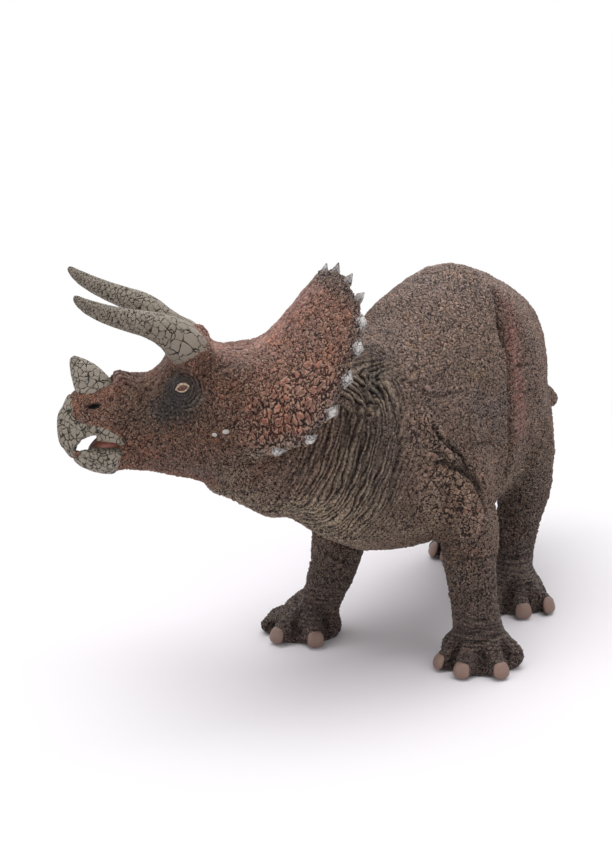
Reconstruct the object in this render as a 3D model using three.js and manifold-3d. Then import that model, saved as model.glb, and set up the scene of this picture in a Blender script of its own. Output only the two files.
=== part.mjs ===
// A standing horned dinosaur figure of painted soft PVC, as it is moulded and glued together:
// a hollow torso, a plug-in head and tail, four pegged legs, and pegged horns, beak, tongue and eyes.
// Millimetres, +Z up. The animal faces -Y and its left side is +X, with the head turned to its right.
import * as THREE from "three";
import { mergeVertices } from "three/addons/utils/BufferGeometryUtils.js";
import Module from "manifold-3d";

const wasm = await Module();
wasm.setup();

// Trunk
const torsoLength = 88; // shoulder line to tail root
const torsoWidth = 52;
const torsoDepth = 74; // back to belly at the barrel
const backHeight = 105; // ground to the top of the back
const neckLength = 40;
const tailLength = 36;
const wall = 4; // thickness of the hollow torso
const headPlugLength = 5; // how far the head's plug reaches into the torso
const tailPlugLength = 12;
const glueGap = 0.3; // room for glue between neighbouring mouldings
const tailSeamShare = 1.02; // of torsoLength

// Neck, trunk and tail, front to back. Each row is one section of the body.
// [right and ahead of neckLength, height of backHeight, half width of torsoWidth, up and down of torsoDepth]
const neckShares = [
  [0.8, 1.15, 0.657, 0.202, 0.108, 0.169],
  [0.55, 0.95, 0.648, 0.327, 0.264, 0.243],
  [0.3, 0.65, 0.638, 0.404, 0.365, 0.324],
  [0.1, 0.3, 0.61, 0.442, 0.453, 0.392],
];
// [along torsoLength, height of backHeight, half width of torsoWidth, up and down of torsoDepth]
const trunkShares = [
  [0.05, 0.586, 0.481, 0.534, 0.419],
  [0.25, 0.59, 0.5, 0.585, 0.466],
  [0.45, 0.595, 0.5, 0.581, 0.486],
  [0.648, 0.614, 0.471, 0.5, 0.432],
  [0.818, 0.619, 0.375, 0.378, 0.351],
];
// [along and left of tailLength, height of backHeight, half width of torsoWidth, up and down of torsoDepth]
const tailShares = [
  [0, 0, 0.581, 0.26, 0.257, 0.23],
  [0.306, 0.028, 0.524, 0.173, 0.149, 0.142],
  [0.611, 0.083, 0.457, 0.106, 0.081, 0.081],
  [0.875, 0.147, 0.403, 0.05, 0.035, 0.035],
];
const cavityEndShare = 0.83; // of the way along the sections, past the tail seam

// Head, in its own frame: it faces -Y there and its rear joint is at the origin
const headLength = 74; // beak to rear joint
const skullWidth = 34;
const skullDepth = 40;
const skullAxisShare = -0.06; // of skullDepth, height of the line that the sections stand on
const headYaw = -57; // degrees, the turn to the right
const plugFrontShare = 0.25; // of headLength, how far the plug runs into the skull
const headPlaceShares = [0.18, 0.75, 0.771]; // right and ahead of neckLength, height of backHeight
// [ahead of headLength, half width of skullWidth, top and bottom of skullDepth]
const skullShares = [
  [0.977, 0.071, 0.062, -0.212],
  [0.954, 0.112, 0.155, -0.275],
  [0.919, 0.153, 0.225, -0.34],
  [0.865, 0.188, 0.245, -0.385],
  [0.811, 0.218, 0.27, -0.4],
  [0.757, 0.253, 0.3, -0.38],
  [0.703, 0.288, 0.27, -0.392],
  [0.655, 0.335, 0.28, -0.41],
  [0.614, 0.379, 0.33, -0.425],
  [0.581, 0.412, 0.44, -0.44],
  [0.541, 0.435, 0.495, -0.46],
  [0.473, 0.459, 0.505, -0.495],
  [0.392, 0.488, 0.45, -0.537],
  [0.297, 0.482, 0.4, -0.55],
  [0.189, 0.397, 0.338, -0.463],
  [0.041, 0.265, 0.225, -0.25],
];

// Frill: a dished plate from the skull to a studded rim
const frillHalfWidth = 29.8;
const frillHeight = 39;
const frillThickness = 3.2;
const frillDish = 8.6; // how far the plate sinks below a straight line from root to rim
const frillHalfShares = [1.2, 0.5, 0.25]; // half thickness at the root, near the rim and at its edge
const dishEndShare = 0.9; // of the way round, where the dish runs out
// Rim from the top middle down the left side: [out of frillHalfWidth, ahead of headLength, up of frillHeight]
const rimShares = [
  [0, 0.027, 0.979],
  [0.164, 0.014, 0.974],
  [0.362, -0.027, 0.949],
  [0.601, -0.068, 0.897],
  [0.799, -0.068, 0.774],
  [0.933, -0.046, 0.626],
  [1, -0.004, 0.423],
  [1, 0.051, 0.195],
  [0.933, 0.127, -0.008],
  [0.802, 0.236, -0.113],
];
// Root of the plate inside the skull, at the same stations
const rootShares = [
  [0, 0.419, 0.385],
  [0.117, 0.412, 0.374],
  [0.235, 0.399, 0.354],
  [0.352, 0.378, 0.318],
  [0.436, 0.358, 0.272],
  [0.487, 0.338, 0.218],
  [0.503, 0.324, 0.128],
  [0.503, 0.318, 0.026],
  [0.503, 0.318, -0.077],
  [0.487, 0.324, -0.179],
];
const studLength = 3.6;
const studRadius = 2.3;
const studSinkShare = 0.4; // of studLength, inside the rim

// Horns
const browHornRadius = 5.6;
const browHornSpread = 15; // half the distance between the tips
// [out of browHornSpread, ahead of headLength, up of skullDepth, radius of browHornRadius]
const browHornShares = [
  [0.48, 0.493, 0.4, 0.964],
  [0.533, 0.538, 0.52, 0.982],
  [0.587, 0.591, 0.62, 0.839],
  [0.667, 0.668, 0.693, 0.643],
  [0.76, 0.751, 0.742, 0.536],
  [0.86, 0.83, 0.8, 0.446],
  [0.96, 0.899, 0.872, 0.321],
  [1, 0.931, 0.927, 0.161],
];
const browBossShare = 1.14; // radius of the socket's collar, of the horn's
const browBossEndShare = 0.85; // how far the collar follows the horn's first two sections
const noseHornLength = 10.8; // front to back at the base
const noseHornWidth = 7.2;
// [ahead of headLength, up of skullDepth, half length of noseHornLength, half width of noseHornWidth]
const noseHornShares = [
  [0.832, 0.113, 0.5, 0.5],
  [0.859, 0.21, 0.481, 0.5],
  [0.884, 0.292, 0.38, 0.403],
  [0.911, 0.36, 0.241, 0.278],
  [0.932, 0.412, 0.102, 0.125],
];

// Beak and mouth, seen from the side: [ahead of headLength, up of skullDepth]
const upperSeamShares = [
  [0.954, 0.225],
  [0.947, 0.13],
  [0.942, 0.028],
  [0.92, -0.005],
  [0.872, -0.015],
  [0.824, -0.037],
  [0.782, -0.092],
  [0.765, -0.16],
];
const mouthRoofShares = [
  [0.793, -0.128],
  [0.836, -0.123],
  [0.868, -0.12],
  [0.905, -0.158],
  [0.932, -0.198],
  [0.935, -0.225],
  [0.951, -0.312],
];
const mouthFloorShares = [
  [0.773, -0.195],
  [0.793, -0.198],
  [0.869, -0.202],
  [0.927, -0.208],
  [0.931, -0.228],
  [0.947, -0.315],
];
const lowerSeamShares = [
  [0.773, -0.195],
  [0.8, -0.41],
  [0.803, -0.5],
];
const beakFrontShare = 1.1; // of headLength, clear of the beak
const tongueWidth = 5;
const tongueThickness = 1.7;
const tongueShares = [0.79, 0.85]; // ahead of headLength, its two ends

// Eyes
const eyeRadius = 2.9;
const eyePlaceShares = [0.325, 0.556, 0.262]; // out of skullWidth, ahead of headLength, up of skullDepth

// Legs
const legWidth = 15; // thickness of the shin
const pegLength = 12;
const pegWidth = 8;
const pegHeight = 10;
const pegCorner = 2;
const pegReachShare = 0.8; // of the leg's half width, how far out the peg starts
// Each row is one section, from the hip or shoulder down:
// [out of torsoWidth, along torsoLength, height of backHeight, half width and half depth of legWidth]
const foreLeftShares = [
  [0.269, 0.023, 0.686, 0.433, 0.667],
  [0.337, 0.011, 0.581, 0.613, 0.867],
  [0.39, 0.023, 0.476, 0.647, 0.867],
  [0.413, 0.034, 0.381, 0.6, 0.7],
  [0.429, 0.017, 0.295, 0.527, 0.553],
  [0.473, 0, 0.19, 0.447, 0.48],
  [0.504, -0.011, 0.105, 0.46, 0.487],
  [0.519, -0.011, 0.048, 0.6, 0.6],
];
const foreRightShares = [
  [0.269, 0.023, 0.686, 0.433, 0.667],
  [0.337, 0.023, 0.581, 0.613, 0.867],
  [0.365, 0.034, 0.476, 0.647, 0.867],
  [0.356, 0.034, 0.381, 0.6, 0.7],
  [0.354, 0.017, 0.267, 0.52, 0.553],
  [0.417, 0.006, 0.162, 0.453, 0.48],
  [0.481, -0.006, 0.095, 0.48, 0.493],
  [0.538, -0.011, 0.048, 0.6, 0.6],
];
const hindLeftShares = [
  [0.231, 0.642, 0.733, 0.433, 0.933],
  [0.288, 0.625, 0.629, 0.587, 1.133],
  [0.321, 0.636, 0.514, 0.6, 1.1],
  [0.358, 0.642, 0.4, 0.573, 0.853],
  [0.356, 0.642, 0.295, 0.52, 0.613],
  [0.327, 0.619, 0.181, 0.433, 0.48],
  [0.337, 0.58, 0.105, 0.453, 0.48],
  [0.394, 0.523, 0.048, 0.573, 0.587],
];
const hindRightShares = [
  [0.231, 0.67, 0.733, 0.433, 0.933],
  [0.288, 0.67, 0.629, 0.587, 1.133],
  [0.317, 0.682, 0.514, 0.6, 1.1],
  [0.308, 0.727, 0.4, 0.573, 0.853],
  [0.26, 0.807, 0.295, 0.52, 0.613],
  [0.192, 0.886, 0.181, 0.433, 0.48],
  [0.154, 0.932, 0.105, 0.453, 0.48],
  [0.135, 0.909, 0.048, 0.573, 0.587],
];

// Feet: a round pad with toes that fan out from its middle
const footRadius = 11;
const footHeight = 11;
const toeLength = 13; // from the middle of the foot
const toeWidth = 7;
const toeHeight = 7.4;
const nailWidth = 5;
const nailHeight = 5.4;
// [height of footHeight, radius of footRadius]
const padShares = [
  [-0.15, 0.93],
  [0.3, 0.97],
  [0.65, 0.84],
  [1, 0.6],
];
// [out of toeLength, height, half width of toeWidth, half height of toeHeight]
const toeShares = [
  [0.3, 0.55, 0.5, 0.5],
  [0.62, 0.42, 0.48, 0.47],
  [0.85, 0.34, 0.42, 0.4],
];
const nailShares = [0.9, 0.32]; // out of toeLength, height of toeHeight
// Toes turned out from straight ahead, in degrees, and how many of them carry a nail
const foreLeftToes = { turns: [-42, -2, 50, 97], nails: 3 };
const foreRightToes = { turns: [-38, 16, 55, 98], nails: 2 };
const hindLeftToes = { turns: [-50, -12, 32, 84], nails: 4 };
const hindRightToes = { turns: [-60, -20, 20, 60], nails: 4 };

// Shape of the sections and ends of the lofted forms
const up = new THREE.Vector3(0, 0, 1);
const back = new THREE.Vector3(0, 1, 0);
const domeShares = [0.92, 0.6]; // width of the rings that close an end
const domeReachShare = 0.6; // length of an end, of the section's half size
const ovalPower = 2;
const skullPower = 2.3;
const clear = torsoLength + tailLength + headLength; // overrun of the cuts

function solid(geometry, matrix = new THREE.Matrix4()) {
  const bare = geometry.clone().applyMatrix4(matrix);
  bare.deleteAttribute("normal");
  bare.deleteAttribute("uv");
  const merged = mergeVertices(bare);
  const vertProperties = Float32Array.from(merged.attributes.position.array);
  const triVerts = Uint32Array.from(merged.index.array);
  return new wasm.Manifold(new wasm.Mesh({ numProp: 3, vertProperties, triVerts }));
}

function largest(made) {
  return made.decompose().reduce((a, b) => (a.volume() > b.volume() ? a : b));
}

function union(parts) {
  return parts.reduce((a, b) => a.add(b));
}

function indexed(points, index) {
  const geometry = new THREE.BufferGeometry().setFromPoints(points);
  geometry.setIndex(index);
  return geometry;
}

function block(x, y, z, at) {
  return new THREE.BoxGeometry(x, y, z).translate(at.x, at.y, at.z);
}

// A closed tube of oval sections along a smooth path through the stations
function loft(stations, { rings, sides, hint = up, grow = 0, power = ovalPower, until = 1, flat = false }) {
  const path = new THREE.CatmullRomCurve3(stations.map((s) => s.at));
  const reach = new THREE.CatmullRomCurve3(stations.map((s) => new THREE.Vector3(s.side, s.up, s.down)));
  const rows = [];
  for (let i = 0; i <= rings; i++) rows.push({ t: (until * i) / rings, shrink: 1, push: 0 });
  for (const shrink of flat ? [] : domeShares) {
    const push = domeReachShare * Math.sqrt(1 - shrink * shrink);
    rows.unshift({ t: 0, shrink, push: -push });
    rows.push({ t: until, shrink, push });
  }
  const place = ({ t, shrink, push }, c, s) => {
    const ahead = path.getTangent(t);
    const above = hint.clone().projectOnPlane(ahead).normalize();
    const out = ahead.clone().cross(above);
    const size = reach.getPoint(t);
    const cap = Math.min(size.x, (size.y + size.z) / 2);
    return path
      .getPoint(t)
      .addScaledVector(ahead, push * cap + Math.sign(push) * grow)
      .addScaledVector(out, c * (size.x + grow) * shrink)
      .addScaledVector(above, s * ((s > 0 ? size.y : size.z) + grow) * shrink);
  };
  const curve = (v) => Math.sign(v) * Math.abs(v) ** (2 / power);
  const points = [];
  for (const row of rows)
    for (let j = 0; j < sides; j++) {
      const a = (2 * Math.PI * j) / sides;
      points.push(place(row, curve(Math.cos(a)), curve(Math.sin(a))));
    }
  const end = flat ? 0 : domeReachShare;
  const first = points.push(place({ t: 0, shrink: 0, push: -end }, 0, 0)) - 1;
  const last = points.push(place({ t: until, shrink: 0, push: end }, 0, 0)) - 1;
  const index = [];
  for (let j = 0; j < sides; j++) {
    const k = (j + 1) % sides;
    for (let i = 0; i + 1 < rows.length; i++) {
      const [a, b, c, d] = [i * sides + j, i * sides + k, (i + 1) * sides + j, (i + 1) * sides + k];
      index.push(a, c, b, b, c, d);
    }
    index.push(first, j, k);
    index.push(last, (rows.length - 1) * sides + k, (rows.length - 1) * sides + j);
  }
  return indexed(points, index);
}

// Body
const bodyStations = [
  ...neckShares.map(([right, ahead, height, side, above, below]) => ({
    at: new THREE.Vector3(-right * neckLength, -ahead * neckLength, height * backHeight),
    side: side * torsoWidth,
    up: above * torsoDepth,
    down: below * torsoDepth,
  })),
  ...trunkShares.map(([along, height, side, above, below]) => ({
    at: new THREE.Vector3(0, along * torsoLength, height * backHeight),
    side: side * torsoWidth,
    up: above * torsoDepth,
    down: below * torsoDepth,
  })),
  ...tailShares.map(([along, left, height, side, above, below]) => ({
    at: new THREE.Vector3(left * tailLength, torsoLength + along * tailLength, height * backHeight),
    side: side * torsoWidth,
    up: above * torsoDepth,
    down: below * torsoDepth,
  })),
];
const bodyShape = (grow) => loft(bodyStations, { rings: 34, sides: 24, grow });
const innerShape = (grow) =>
  loft(bodyStations, { rings: 20, sides: 18, grow, until: cavityEndShare, flat: true });

// Head
const head = new THREE.Group();
head.position.set(
  -headPlaceShares[0] * neckLength,
  -headPlaceShares[1] * neckLength,
  headPlaceShares[2] * backHeight,
);
head.rotation.z = THREE.MathUtils.degToRad(headYaw);
head.updateMatrix();
const intoHead = head.matrix.clone().invert();

const headPoint = (out, ahead, above) => new THREE.Vector3(out, -ahead, above);

function skullShape(grow) {
  const stations = skullShares.map(([ahead, side, top, bottom]) => ({
    at: headPoint(0, ahead * headLength, skullAxisShare * skullDepth),
    side: side * skullWidth,
    up: (top - skullAxisShare) * skullDepth,
    down: (skullAxisShare - bottom) * skullDepth,
  }));
  return loft(stations, { rings: 22, sides: 18, grow, power: skullPower });
}

const frillPoint = ([out, ahead, above]) =>
  headPoint(out * frillHalfWidth, ahead * headLength, above * frillHeight);
const rim = new THREE.CatmullRomCurve3(rimShares.map(frillPoint));
const root = new THREE.CatmullRomCurve3(rootShares.map(frillPoint));
const mirror = new THREE.Vector3(-1, 1, 1);

function frillShape(grow) {
  const round = 11; // steps from the middle to the lower end of one side
  const across = 6; // steps from root to rim
  const grid = [];
  for (let i = -round; i <= round; i++) {
    const t = Math.abs(i) / round;
    const dish = frillDish * Math.max(0, 1 - (t / dishEndShare) ** 2);
    const row = [];
    for (let j = 0; j <= across; j++) {
      const p = root.getPoint(t).lerp(rim.getPoint(t), j / across);
      p.z -= dish * Math.sin((Math.PI * j) / across);
      row.push(i < 0 ? p.multiply(mirror) : p);
    }
    grid.push(row);
  }
  const n = grid.length;
  const m = across + 1;
  const half = (j) => {
    const [inner, outer, edge] = frillHalfShares;
    const share = j === across ? edge : THREE.MathUtils.lerp(inner, outer, j / across);
    return share * frillThickness + grow;
  };
  const points = [];
  for (const face of [1, -1])
    for (let i = 0; i < n; i++)
      for (let j = 0; j < m; j++) {
        const along = grid[Math.min(n - 1, i + 1)][j].clone().sub(grid[Math.max(0, i - 1)][j]).normalize();
        const out = grid[i][Math.min(m - 1, j + 1)].clone().sub(grid[i][Math.max(0, j - 1)]).normalize();
        const normal = along.clone().cross(out).normalize();
        const p = grid[i][j].clone().addScaledVector(normal, face * half(j));
        if (j === across) p.addScaledVector(out, grow);
        if (i === 0) p.addScaledVector(along, -grow);
        if (i === n - 1) p.addScaledVector(along, grow);
        points.push(p);
      }
  const at = (face, i, j) => (face * n + i) * m + j;
  const index = [];
  const quad = (a, b, c, d) => index.push(a, b, c, a, c, d);
  for (let i = 0; i + 1 < n; i++) {
    for (let j = 0; j + 1 < m; j++) {
      quad(at(0, i, j), at(0, i + 1, j), at(0, i + 1, j + 1), at(0, i, j + 1));
      quad(at(1, i, j), at(1, i, j + 1), at(1, i + 1, j + 1), at(1, i + 1, j));
    }
    quad(at(0, i, 0), at(1, i, 0), at(1, i + 1, 0), at(0, i + 1, 0));
    quad(at(0, i, across), at(0, i + 1, across), at(1, i + 1, across), at(1, i, across));
  }
  for (let j = 0; j + 1 < m; j++) {
    quad(at(0, 0, j), at(0, 0, j + 1), at(1, 0, j + 1), at(1, 0, j));
    quad(at(0, n - 1, j), at(1, n - 1, j), at(1, n - 1, j + 1), at(0, n - 1, j + 1));
  }
  return indexed(points, index);
}

// One stud on the middle of the rim and the others in pairs down the sides
function studShapes(grow) {
  const made = [];
  for (let k = 0; k < rimShares.length; k++) {
    const foot = frillPoint(rimShares[k]);
    const out = foot.clone().sub(frillPoint(rootShares[k])).normalize();
    const place = foot.addScaledVector(out, (0.5 - studSinkShare) * studLength);
    for (const side of k === 0 ? [1] : [1, -1]) {
      const aim = new THREE.Vector3(side * out.x, out.y, out.z);
      const turn = new THREE.Quaternion().setFromUnitVectors(back, aim);
      const matrix = new THREE.Matrix4().compose(
        new THREE.Vector3(side * place.x, place.y, place.z),
        turn,
        new THREE.Vector3(1, 1, 1),
      );
      made.push(new THREE.ConeGeometry(studRadius + grow, studLength + 2 * grow, 4).applyMatrix4(matrix));
    }
  }
  return made;
}

function browHornStations(side, fat) {
  return browHornShares.map(([out, ahead, above, r]) => ({
    at: headPoint(side * out * browHornSpread, ahead * headLength, above * skullDepth),
    side: fat * r * browHornRadius,
    up: fat * r * browHornRadius,
    down: fat * r * browHornRadius,
  }));
}
const browHornShape = (side, grow) => loft(browHornStations(side, 1), { rings: 11, sides: 10, grow });
function browBossShape(side) {
  const stations = browHornStations(side, browBossShare).slice(0, 2);
  return loft(stations, { rings: 1, sides: 10, until: browBossEndShare, flat: true });
}

function noseHornShape(grow) {
  const stations = noseHornShares.map(([ahead, above, half, side]) => ({
    at: headPoint(0, ahead * headLength, above * skullDepth),
    side: side * noseHornWidth,
    up: half * noseHornLength,
    down: half * noseHornLength,
  }));
  return loft(stations, { rings: 7, sides: 12, hint: back, grow });
}

function eyeShape(side, grow) {
  const [out, ahead, above] = eyePlaceShares;
  const at = headPoint(side * out * skullWidth, ahead * headLength, above * skullDepth);
  return new THREE.SphereGeometry(eyeRadius + grow, 12, 8).translate(at.x, at.y, at.z);
}

// A slab as wide as the skull whose outline is drawn from the side
function profile(points) {
  const shape = new THREE.Shape(points.map(([ahead, above]) => new THREE.Vector2(ahead, above)));
  const geometry = new THREE.ExtrudeGeometry(shape, { depth: skullWidth, bevelEnabled: false });
  geometry.translate(0, 0, -skullWidth / 2);
  const axes = new THREE.Matrix4().makeBasis(headPoint(0, 1, 0), up, new THREE.Vector3(-1, 0, 0));
  return geometry.applyMatrix4(axes);
}
const sideLine = (shares) => shares.map(([ahead, above]) => [ahead * headLength, above * skullDepth]);
const front = beakFrontShare * headLength;
const upperSeam = sideLine(upperSeamShares);
const lowerSeam = sideLine(lowerSeamShares);
const roof = sideLine(mouthRoofShares);
const floor = sideLine(mouthFloorShares);
const [lowestAhead, lowest] = lowerSeam.at(-1);
const upperBeakOutline = [...upperSeam, ...roof, [front, roof.at(-1)[1]], [front, upperSeam[0][1]]];
const lowerBeakOutline = [
  ...floor,
  [front, floor.at(-1)[1]],
  [front, lowest],
  ...lowerSeam.slice(1).reverse(),
];
const beakSpaceOutline = [
  ...upperSeam.map(([ahead, above]) => [ahead - glueGap, above + glueGap]),
  ...lowerSeam.map(([ahead, above]) => [ahead - glueGap, above]),
  [lowestAhead, lowest - glueGap],
  [front, lowest - glueGap],
  [front, upperSeam[0][1] + glueGap],
];

const skull = solid(skullShape(0));
const plugFront = plugFrontShare * headLength;
const headPlug = solid(innerShape(-wall - glueGap), intoHead).intersect(
  solid(block(clear, plugFront + headPlugLength, clear, headPoint(0, (plugFront - headPlugLength) / 2, 0))),
);
const headSkin = union([
  skull,
  solid(frillShape(0)),
  solid(browBossShape(1)),
  solid(browBossShape(-1)),
  ...studShapes(0).map((g) => solid(g)),
  headPlug,
]);
const headCuts = [
  solid(profile(beakSpaceOutline)),
  solid(noseHornShape(glueGap)),
  solid(browHornShape(1, glueGap)),
  solid(browHornShape(-1, glueGap)),
  solid(eyeShape(1, glueGap)),
  solid(eyeShape(-1, glueGap)),
];
const headSolid = largest(headSkin.subtract(union(headCuts)));
const upperBeakRoom = solid(profile(upperBeakOutline)).subtract(solid(noseHornShape(glueGap)));
const upperBeak = largest(skull.intersect(upperBeakRoom));
const lowerBeak = largest(skull.intersect(solid(profile(lowerBeakOutline))));
const headRoom = union([
  solid(skullShape(glueGap), head.matrix),
  solid(frillShape(glueGap), head.matrix),
  ...studShapes(glueGap).map((g) => solid(g, head.matrix)),
]);

function tongueShape() {
  const level = floor[1][1] + glueGap + tongueThickness / 2;
  const stations = tongueShares.map((ahead) => ({
    at: headPoint(0, ahead * headLength, level),
    side: tongueWidth / 2,
    up: tongueThickness / 2,
    down: tongueThickness / 2,
  }));
  return loft(stations, { rings: 2, sides: 12 });
}

// Legs
function foot(side, middle, { turns, nails }) {
  const pad = padShares.map(([height, radius]) => ({
    at: new THREE.Vector3(middle.x, middle.y, height * footHeight),
    side: radius * footRadius,
    up: radius * footRadius,
    down: radius * footRadius,
  }));
  const parts = [solid(loft(pad, { rings: 3, sides: 12, hint: back, flat: true }))];
  turns.forEach((turn, i) => {
    const a = THREE.MathUtils.degToRad(side * turn);
    const along = new THREE.Vector3(Math.sin(a), -Math.cos(a), 0);
    const place = (out, height) =>
      new THREE.Vector3(middle.x, middle.y, height * toeHeight).addScaledVector(along, out * toeLength);
    const toe = toeShares.map(([out, height, half, tall]) => ({
      at: place(out, height),
      side: half * toeWidth,
      up: tall * toeHeight,
      down: tall * toeHeight,
    }));
    parts.push(solid(loft(toe, { rings: 2, sides: 8 })));
    if (i >= nails) return;
    const nail = new THREE.SphereGeometry(1, 8, 5).scale(nailWidth / 2, nailWidth / 2, nailHeight / 2);
    const at = place(...nailShares);
    parts.push(solid(nail.rotateZ(a).translate(at.x, at.y, at.z)));
  });
  return union(parts);
}

function legStations(side, rows) {
  return rows.map(([out, along, height, half, depth]) => ({
    at: new THREE.Vector3(side * out * torsoWidth, along * torsoLength, height * backHeight),
    side: half * legWidth,
    up: depth * legWidth,
    down: depth * legWidth,
  }));
}

// The peg runs inwards through the torso's wall at the third section of the leg
function peg(side, station, grow) {
  const [w, h] = [pegWidth / 2 + grow, pegHeight / 2 + grow];
  const shape = new THREE.Shape();
  shape.moveTo(-w + pegCorner, -h);
  shape.lineTo(w - pegCorner, -h);
  shape.quadraticCurveTo(w, -h, w, -h + pegCorner);
  shape.lineTo(w, h - pegCorner);
  shape.quadraticCurveTo(w, h, w - pegCorner, h);
  shape.lineTo(-w + pegCorner, h);
  shape.quadraticCurveTo(-w, h, -w, h - pegCorner);
  shape.lineTo(-w, -h + pegCorner);
  shape.quadraticCurveTo(-w, -h, -w + pegCorner, -h);
  const depth = pegLength + 2 * grow;
  const geometry = new THREE.ExtrudeGeometry(shape, { depth, bevelEnabled: false, curveSegments: 3 });
  geometry.translate(0, 0, -depth / 2);
  const axes = new THREE.Matrix4().makeBasis(back, up, new THREE.Vector3(1, 0, 0));
  const middle = station.at.x + side * (pegReachShare * station.side - pegLength / 2);
  axes.setPosition(middle, station.at.y, station.at.z);
  return solid(geometry, axes);
}

const bodyRoom = solid(bodyShape(glueGap));
const belowGround = solid(block(clear, clear, footHeight, new THREE.Vector3(0, 0, -footHeight / 2)));

function leg(side, stations, toes) {
  const column = solid(loft(stations, { rings: 12, sides: 12, hint: back }));
  const outside = column.add(foot(side, stations.at(-1).at, toes)).subtract(bodyRoom).subtract(belowGround);
  return largest(largest(outside).add(peg(side, stations[2], 0)));
}

const legs = [
  ["fore_leg_left", 1, foreLeftShares, foreLeftToes],
  ["fore_leg_right", -1, foreRightShares, foreRightToes],
  ["hind_leg_left", 1, hindLeftShares, hindLeftToes],
  ["hind_leg_right", -1, hindRightShares, hindRightToes],
].map(([name, side, rows, toes]) => {
  const stations = legStations(side, rows);
  return { name, made: leg(side, stations, toes), hole: peg(side, stations[2], glueGap) };
});

// Torso and tail meet at a flat seam
const tailSeam = tailSeamShare * torsoLength;
const behind = (y) => solid(block(clear, clear, 2 * clear, new THREE.Vector3(0, y + clear / 2, 0)));
const body = solid(bodyShape(0));
const torso = largest(
  body
    .subtract(behind(tailSeam - glueGap / 2))
    .subtract(solid(innerShape(-wall)))
    .subtract(headRoom)
    .subtract(union(legs.map((l) => l.hole))),
);
const tailPlug = solid(innerShape(-wall - glueGap))
  .intersect(behind(tailSeam - tailPlugLength))
  .subtract(behind(tailSeam + wall));
const tail = largest(body.intersect(behind(tailSeam + glueGap / 2)).add(tailPlug));

function geometryOf(made) {
  const mesh = made.getMesh();
  const geometry = new THREE.BufferGeometry();
  geometry.setAttribute("position", new THREE.BufferAttribute(mesh.vertProperties, mesh.numProp));
  geometry.setIndex(new THREE.BufferAttribute(mesh.triVerts, 1));
  return geometry;
}

function piece(parent, name, made, color, roughness) {
  const material = new THREE.MeshStandardMaterial({ color, roughness, metalness: 0 });
  const mesh = new THREE.Mesh(geometryOf(made), material);
  mesh.name = name;
  parent.add(mesh);
}

const skinColor = "#6b5a4c";
const headColor = "#7a5038";
const hornColor = "#8c8a78";
const eyeColor = "#5a2a1e";
const tongueColor = "#94594a";
const skinRoughness = 0.62;
const hornRoughness = 0.55;
const eyeRoughness = 0.25;

const figure = new THREE.Group();
figure.add(head);
piece(figure, "torso", torso, skinColor, skinRoughness);
piece(figure, "tail", tail, skinColor, skinRoughness);
for (const { name, made } of legs) piece(figure, name, made, skinColor, skinRoughness);
piece(head, "head", headSolid, headColor, skinRoughness);
piece(head, "upper_beak", upperBeak, hornColor, hornRoughness);
piece(head, "lower_beak", lowerBeak, hornColor, hornRoughness);
piece(head, "tongue", solid(tongueShape()), tongueColor, eyeRoughness);
piece(head, "nose_horn", solid(noseHornShape(0)), hornColor, hornRoughness);
for (const [word, side] of [["left", 1], ["right", -1]]) {
  piece(head, `brow_horn_${word}`, solid(browHornShape(side, 0)), hornColor, hornRoughness);
  piece(head, `eye_${word}`, solid(eyeShape(side, 0)), eyeColor, eyeRoughness);
}

// The origin is on the ground below the middle of the figure
const box = new THREE.Box3().setFromObject(figure, true);
figure.position.set(-(box.min.x + box.max.x) / 2, -(box.min.y + box.max.y) / 2, -box.min.z);
const dinosaur = new THREE.Group();
dinosaur.add(figure);
export default dinosaur;
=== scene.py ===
# A painted plastic horned dinosaur on a pale studio floor
import math
import bpy
import numpy as np
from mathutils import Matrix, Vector
from mathutils.bvhtree import BVHTree


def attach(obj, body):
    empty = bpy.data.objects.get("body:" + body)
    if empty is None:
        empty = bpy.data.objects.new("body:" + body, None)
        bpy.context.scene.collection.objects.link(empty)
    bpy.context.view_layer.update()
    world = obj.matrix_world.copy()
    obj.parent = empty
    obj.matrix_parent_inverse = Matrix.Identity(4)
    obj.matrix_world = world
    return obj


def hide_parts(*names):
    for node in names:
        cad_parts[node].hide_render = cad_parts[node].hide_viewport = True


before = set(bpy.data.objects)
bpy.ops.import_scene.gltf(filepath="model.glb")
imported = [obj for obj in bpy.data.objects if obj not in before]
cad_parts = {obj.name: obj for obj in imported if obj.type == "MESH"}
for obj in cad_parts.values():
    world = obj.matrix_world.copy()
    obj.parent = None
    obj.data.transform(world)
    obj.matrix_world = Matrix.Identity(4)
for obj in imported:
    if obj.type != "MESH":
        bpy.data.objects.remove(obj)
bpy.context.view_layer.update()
mm = 0.001
print("frame loaded")

# Camera: focus and frame height in pixels, sensor in millimetres, distance and aim in metres
view = {"azimuth": 25, "elevation": 18, "distance": 0.7, "focus": 2400, "frameHeight": 856, "sensor": 36,
        "aim": (-0.0139, -0.0146, 0.061)}
azimuth, elevation = math.radians(view["azimuth"]), math.radians(view["elevation"])
towardCamera = (math.sin(azimuth) * math.cos(elevation), -math.cos(azimuth) * math.cos(elevation),
                math.sin(elevation))


def addCamera():
    back = Vector(towardCamera)
    data = bpy.data.cameras.new("camera")
    data.sensor_width = view["sensor"]
    data.lens = view["sensor"] * view["focus"] / view["frameHeight"]
    camera = bpy.data.objects.new("camera", data)
    camera.location = Vector(view["aim"]) + back * view["distance"]
    camera.rotation_euler = back.to_track_quat("Z", "Y").to_euler()
    bpy.context.scene.collection.objects.link(camera)
    bpy.context.scene.camera = camera


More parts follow.
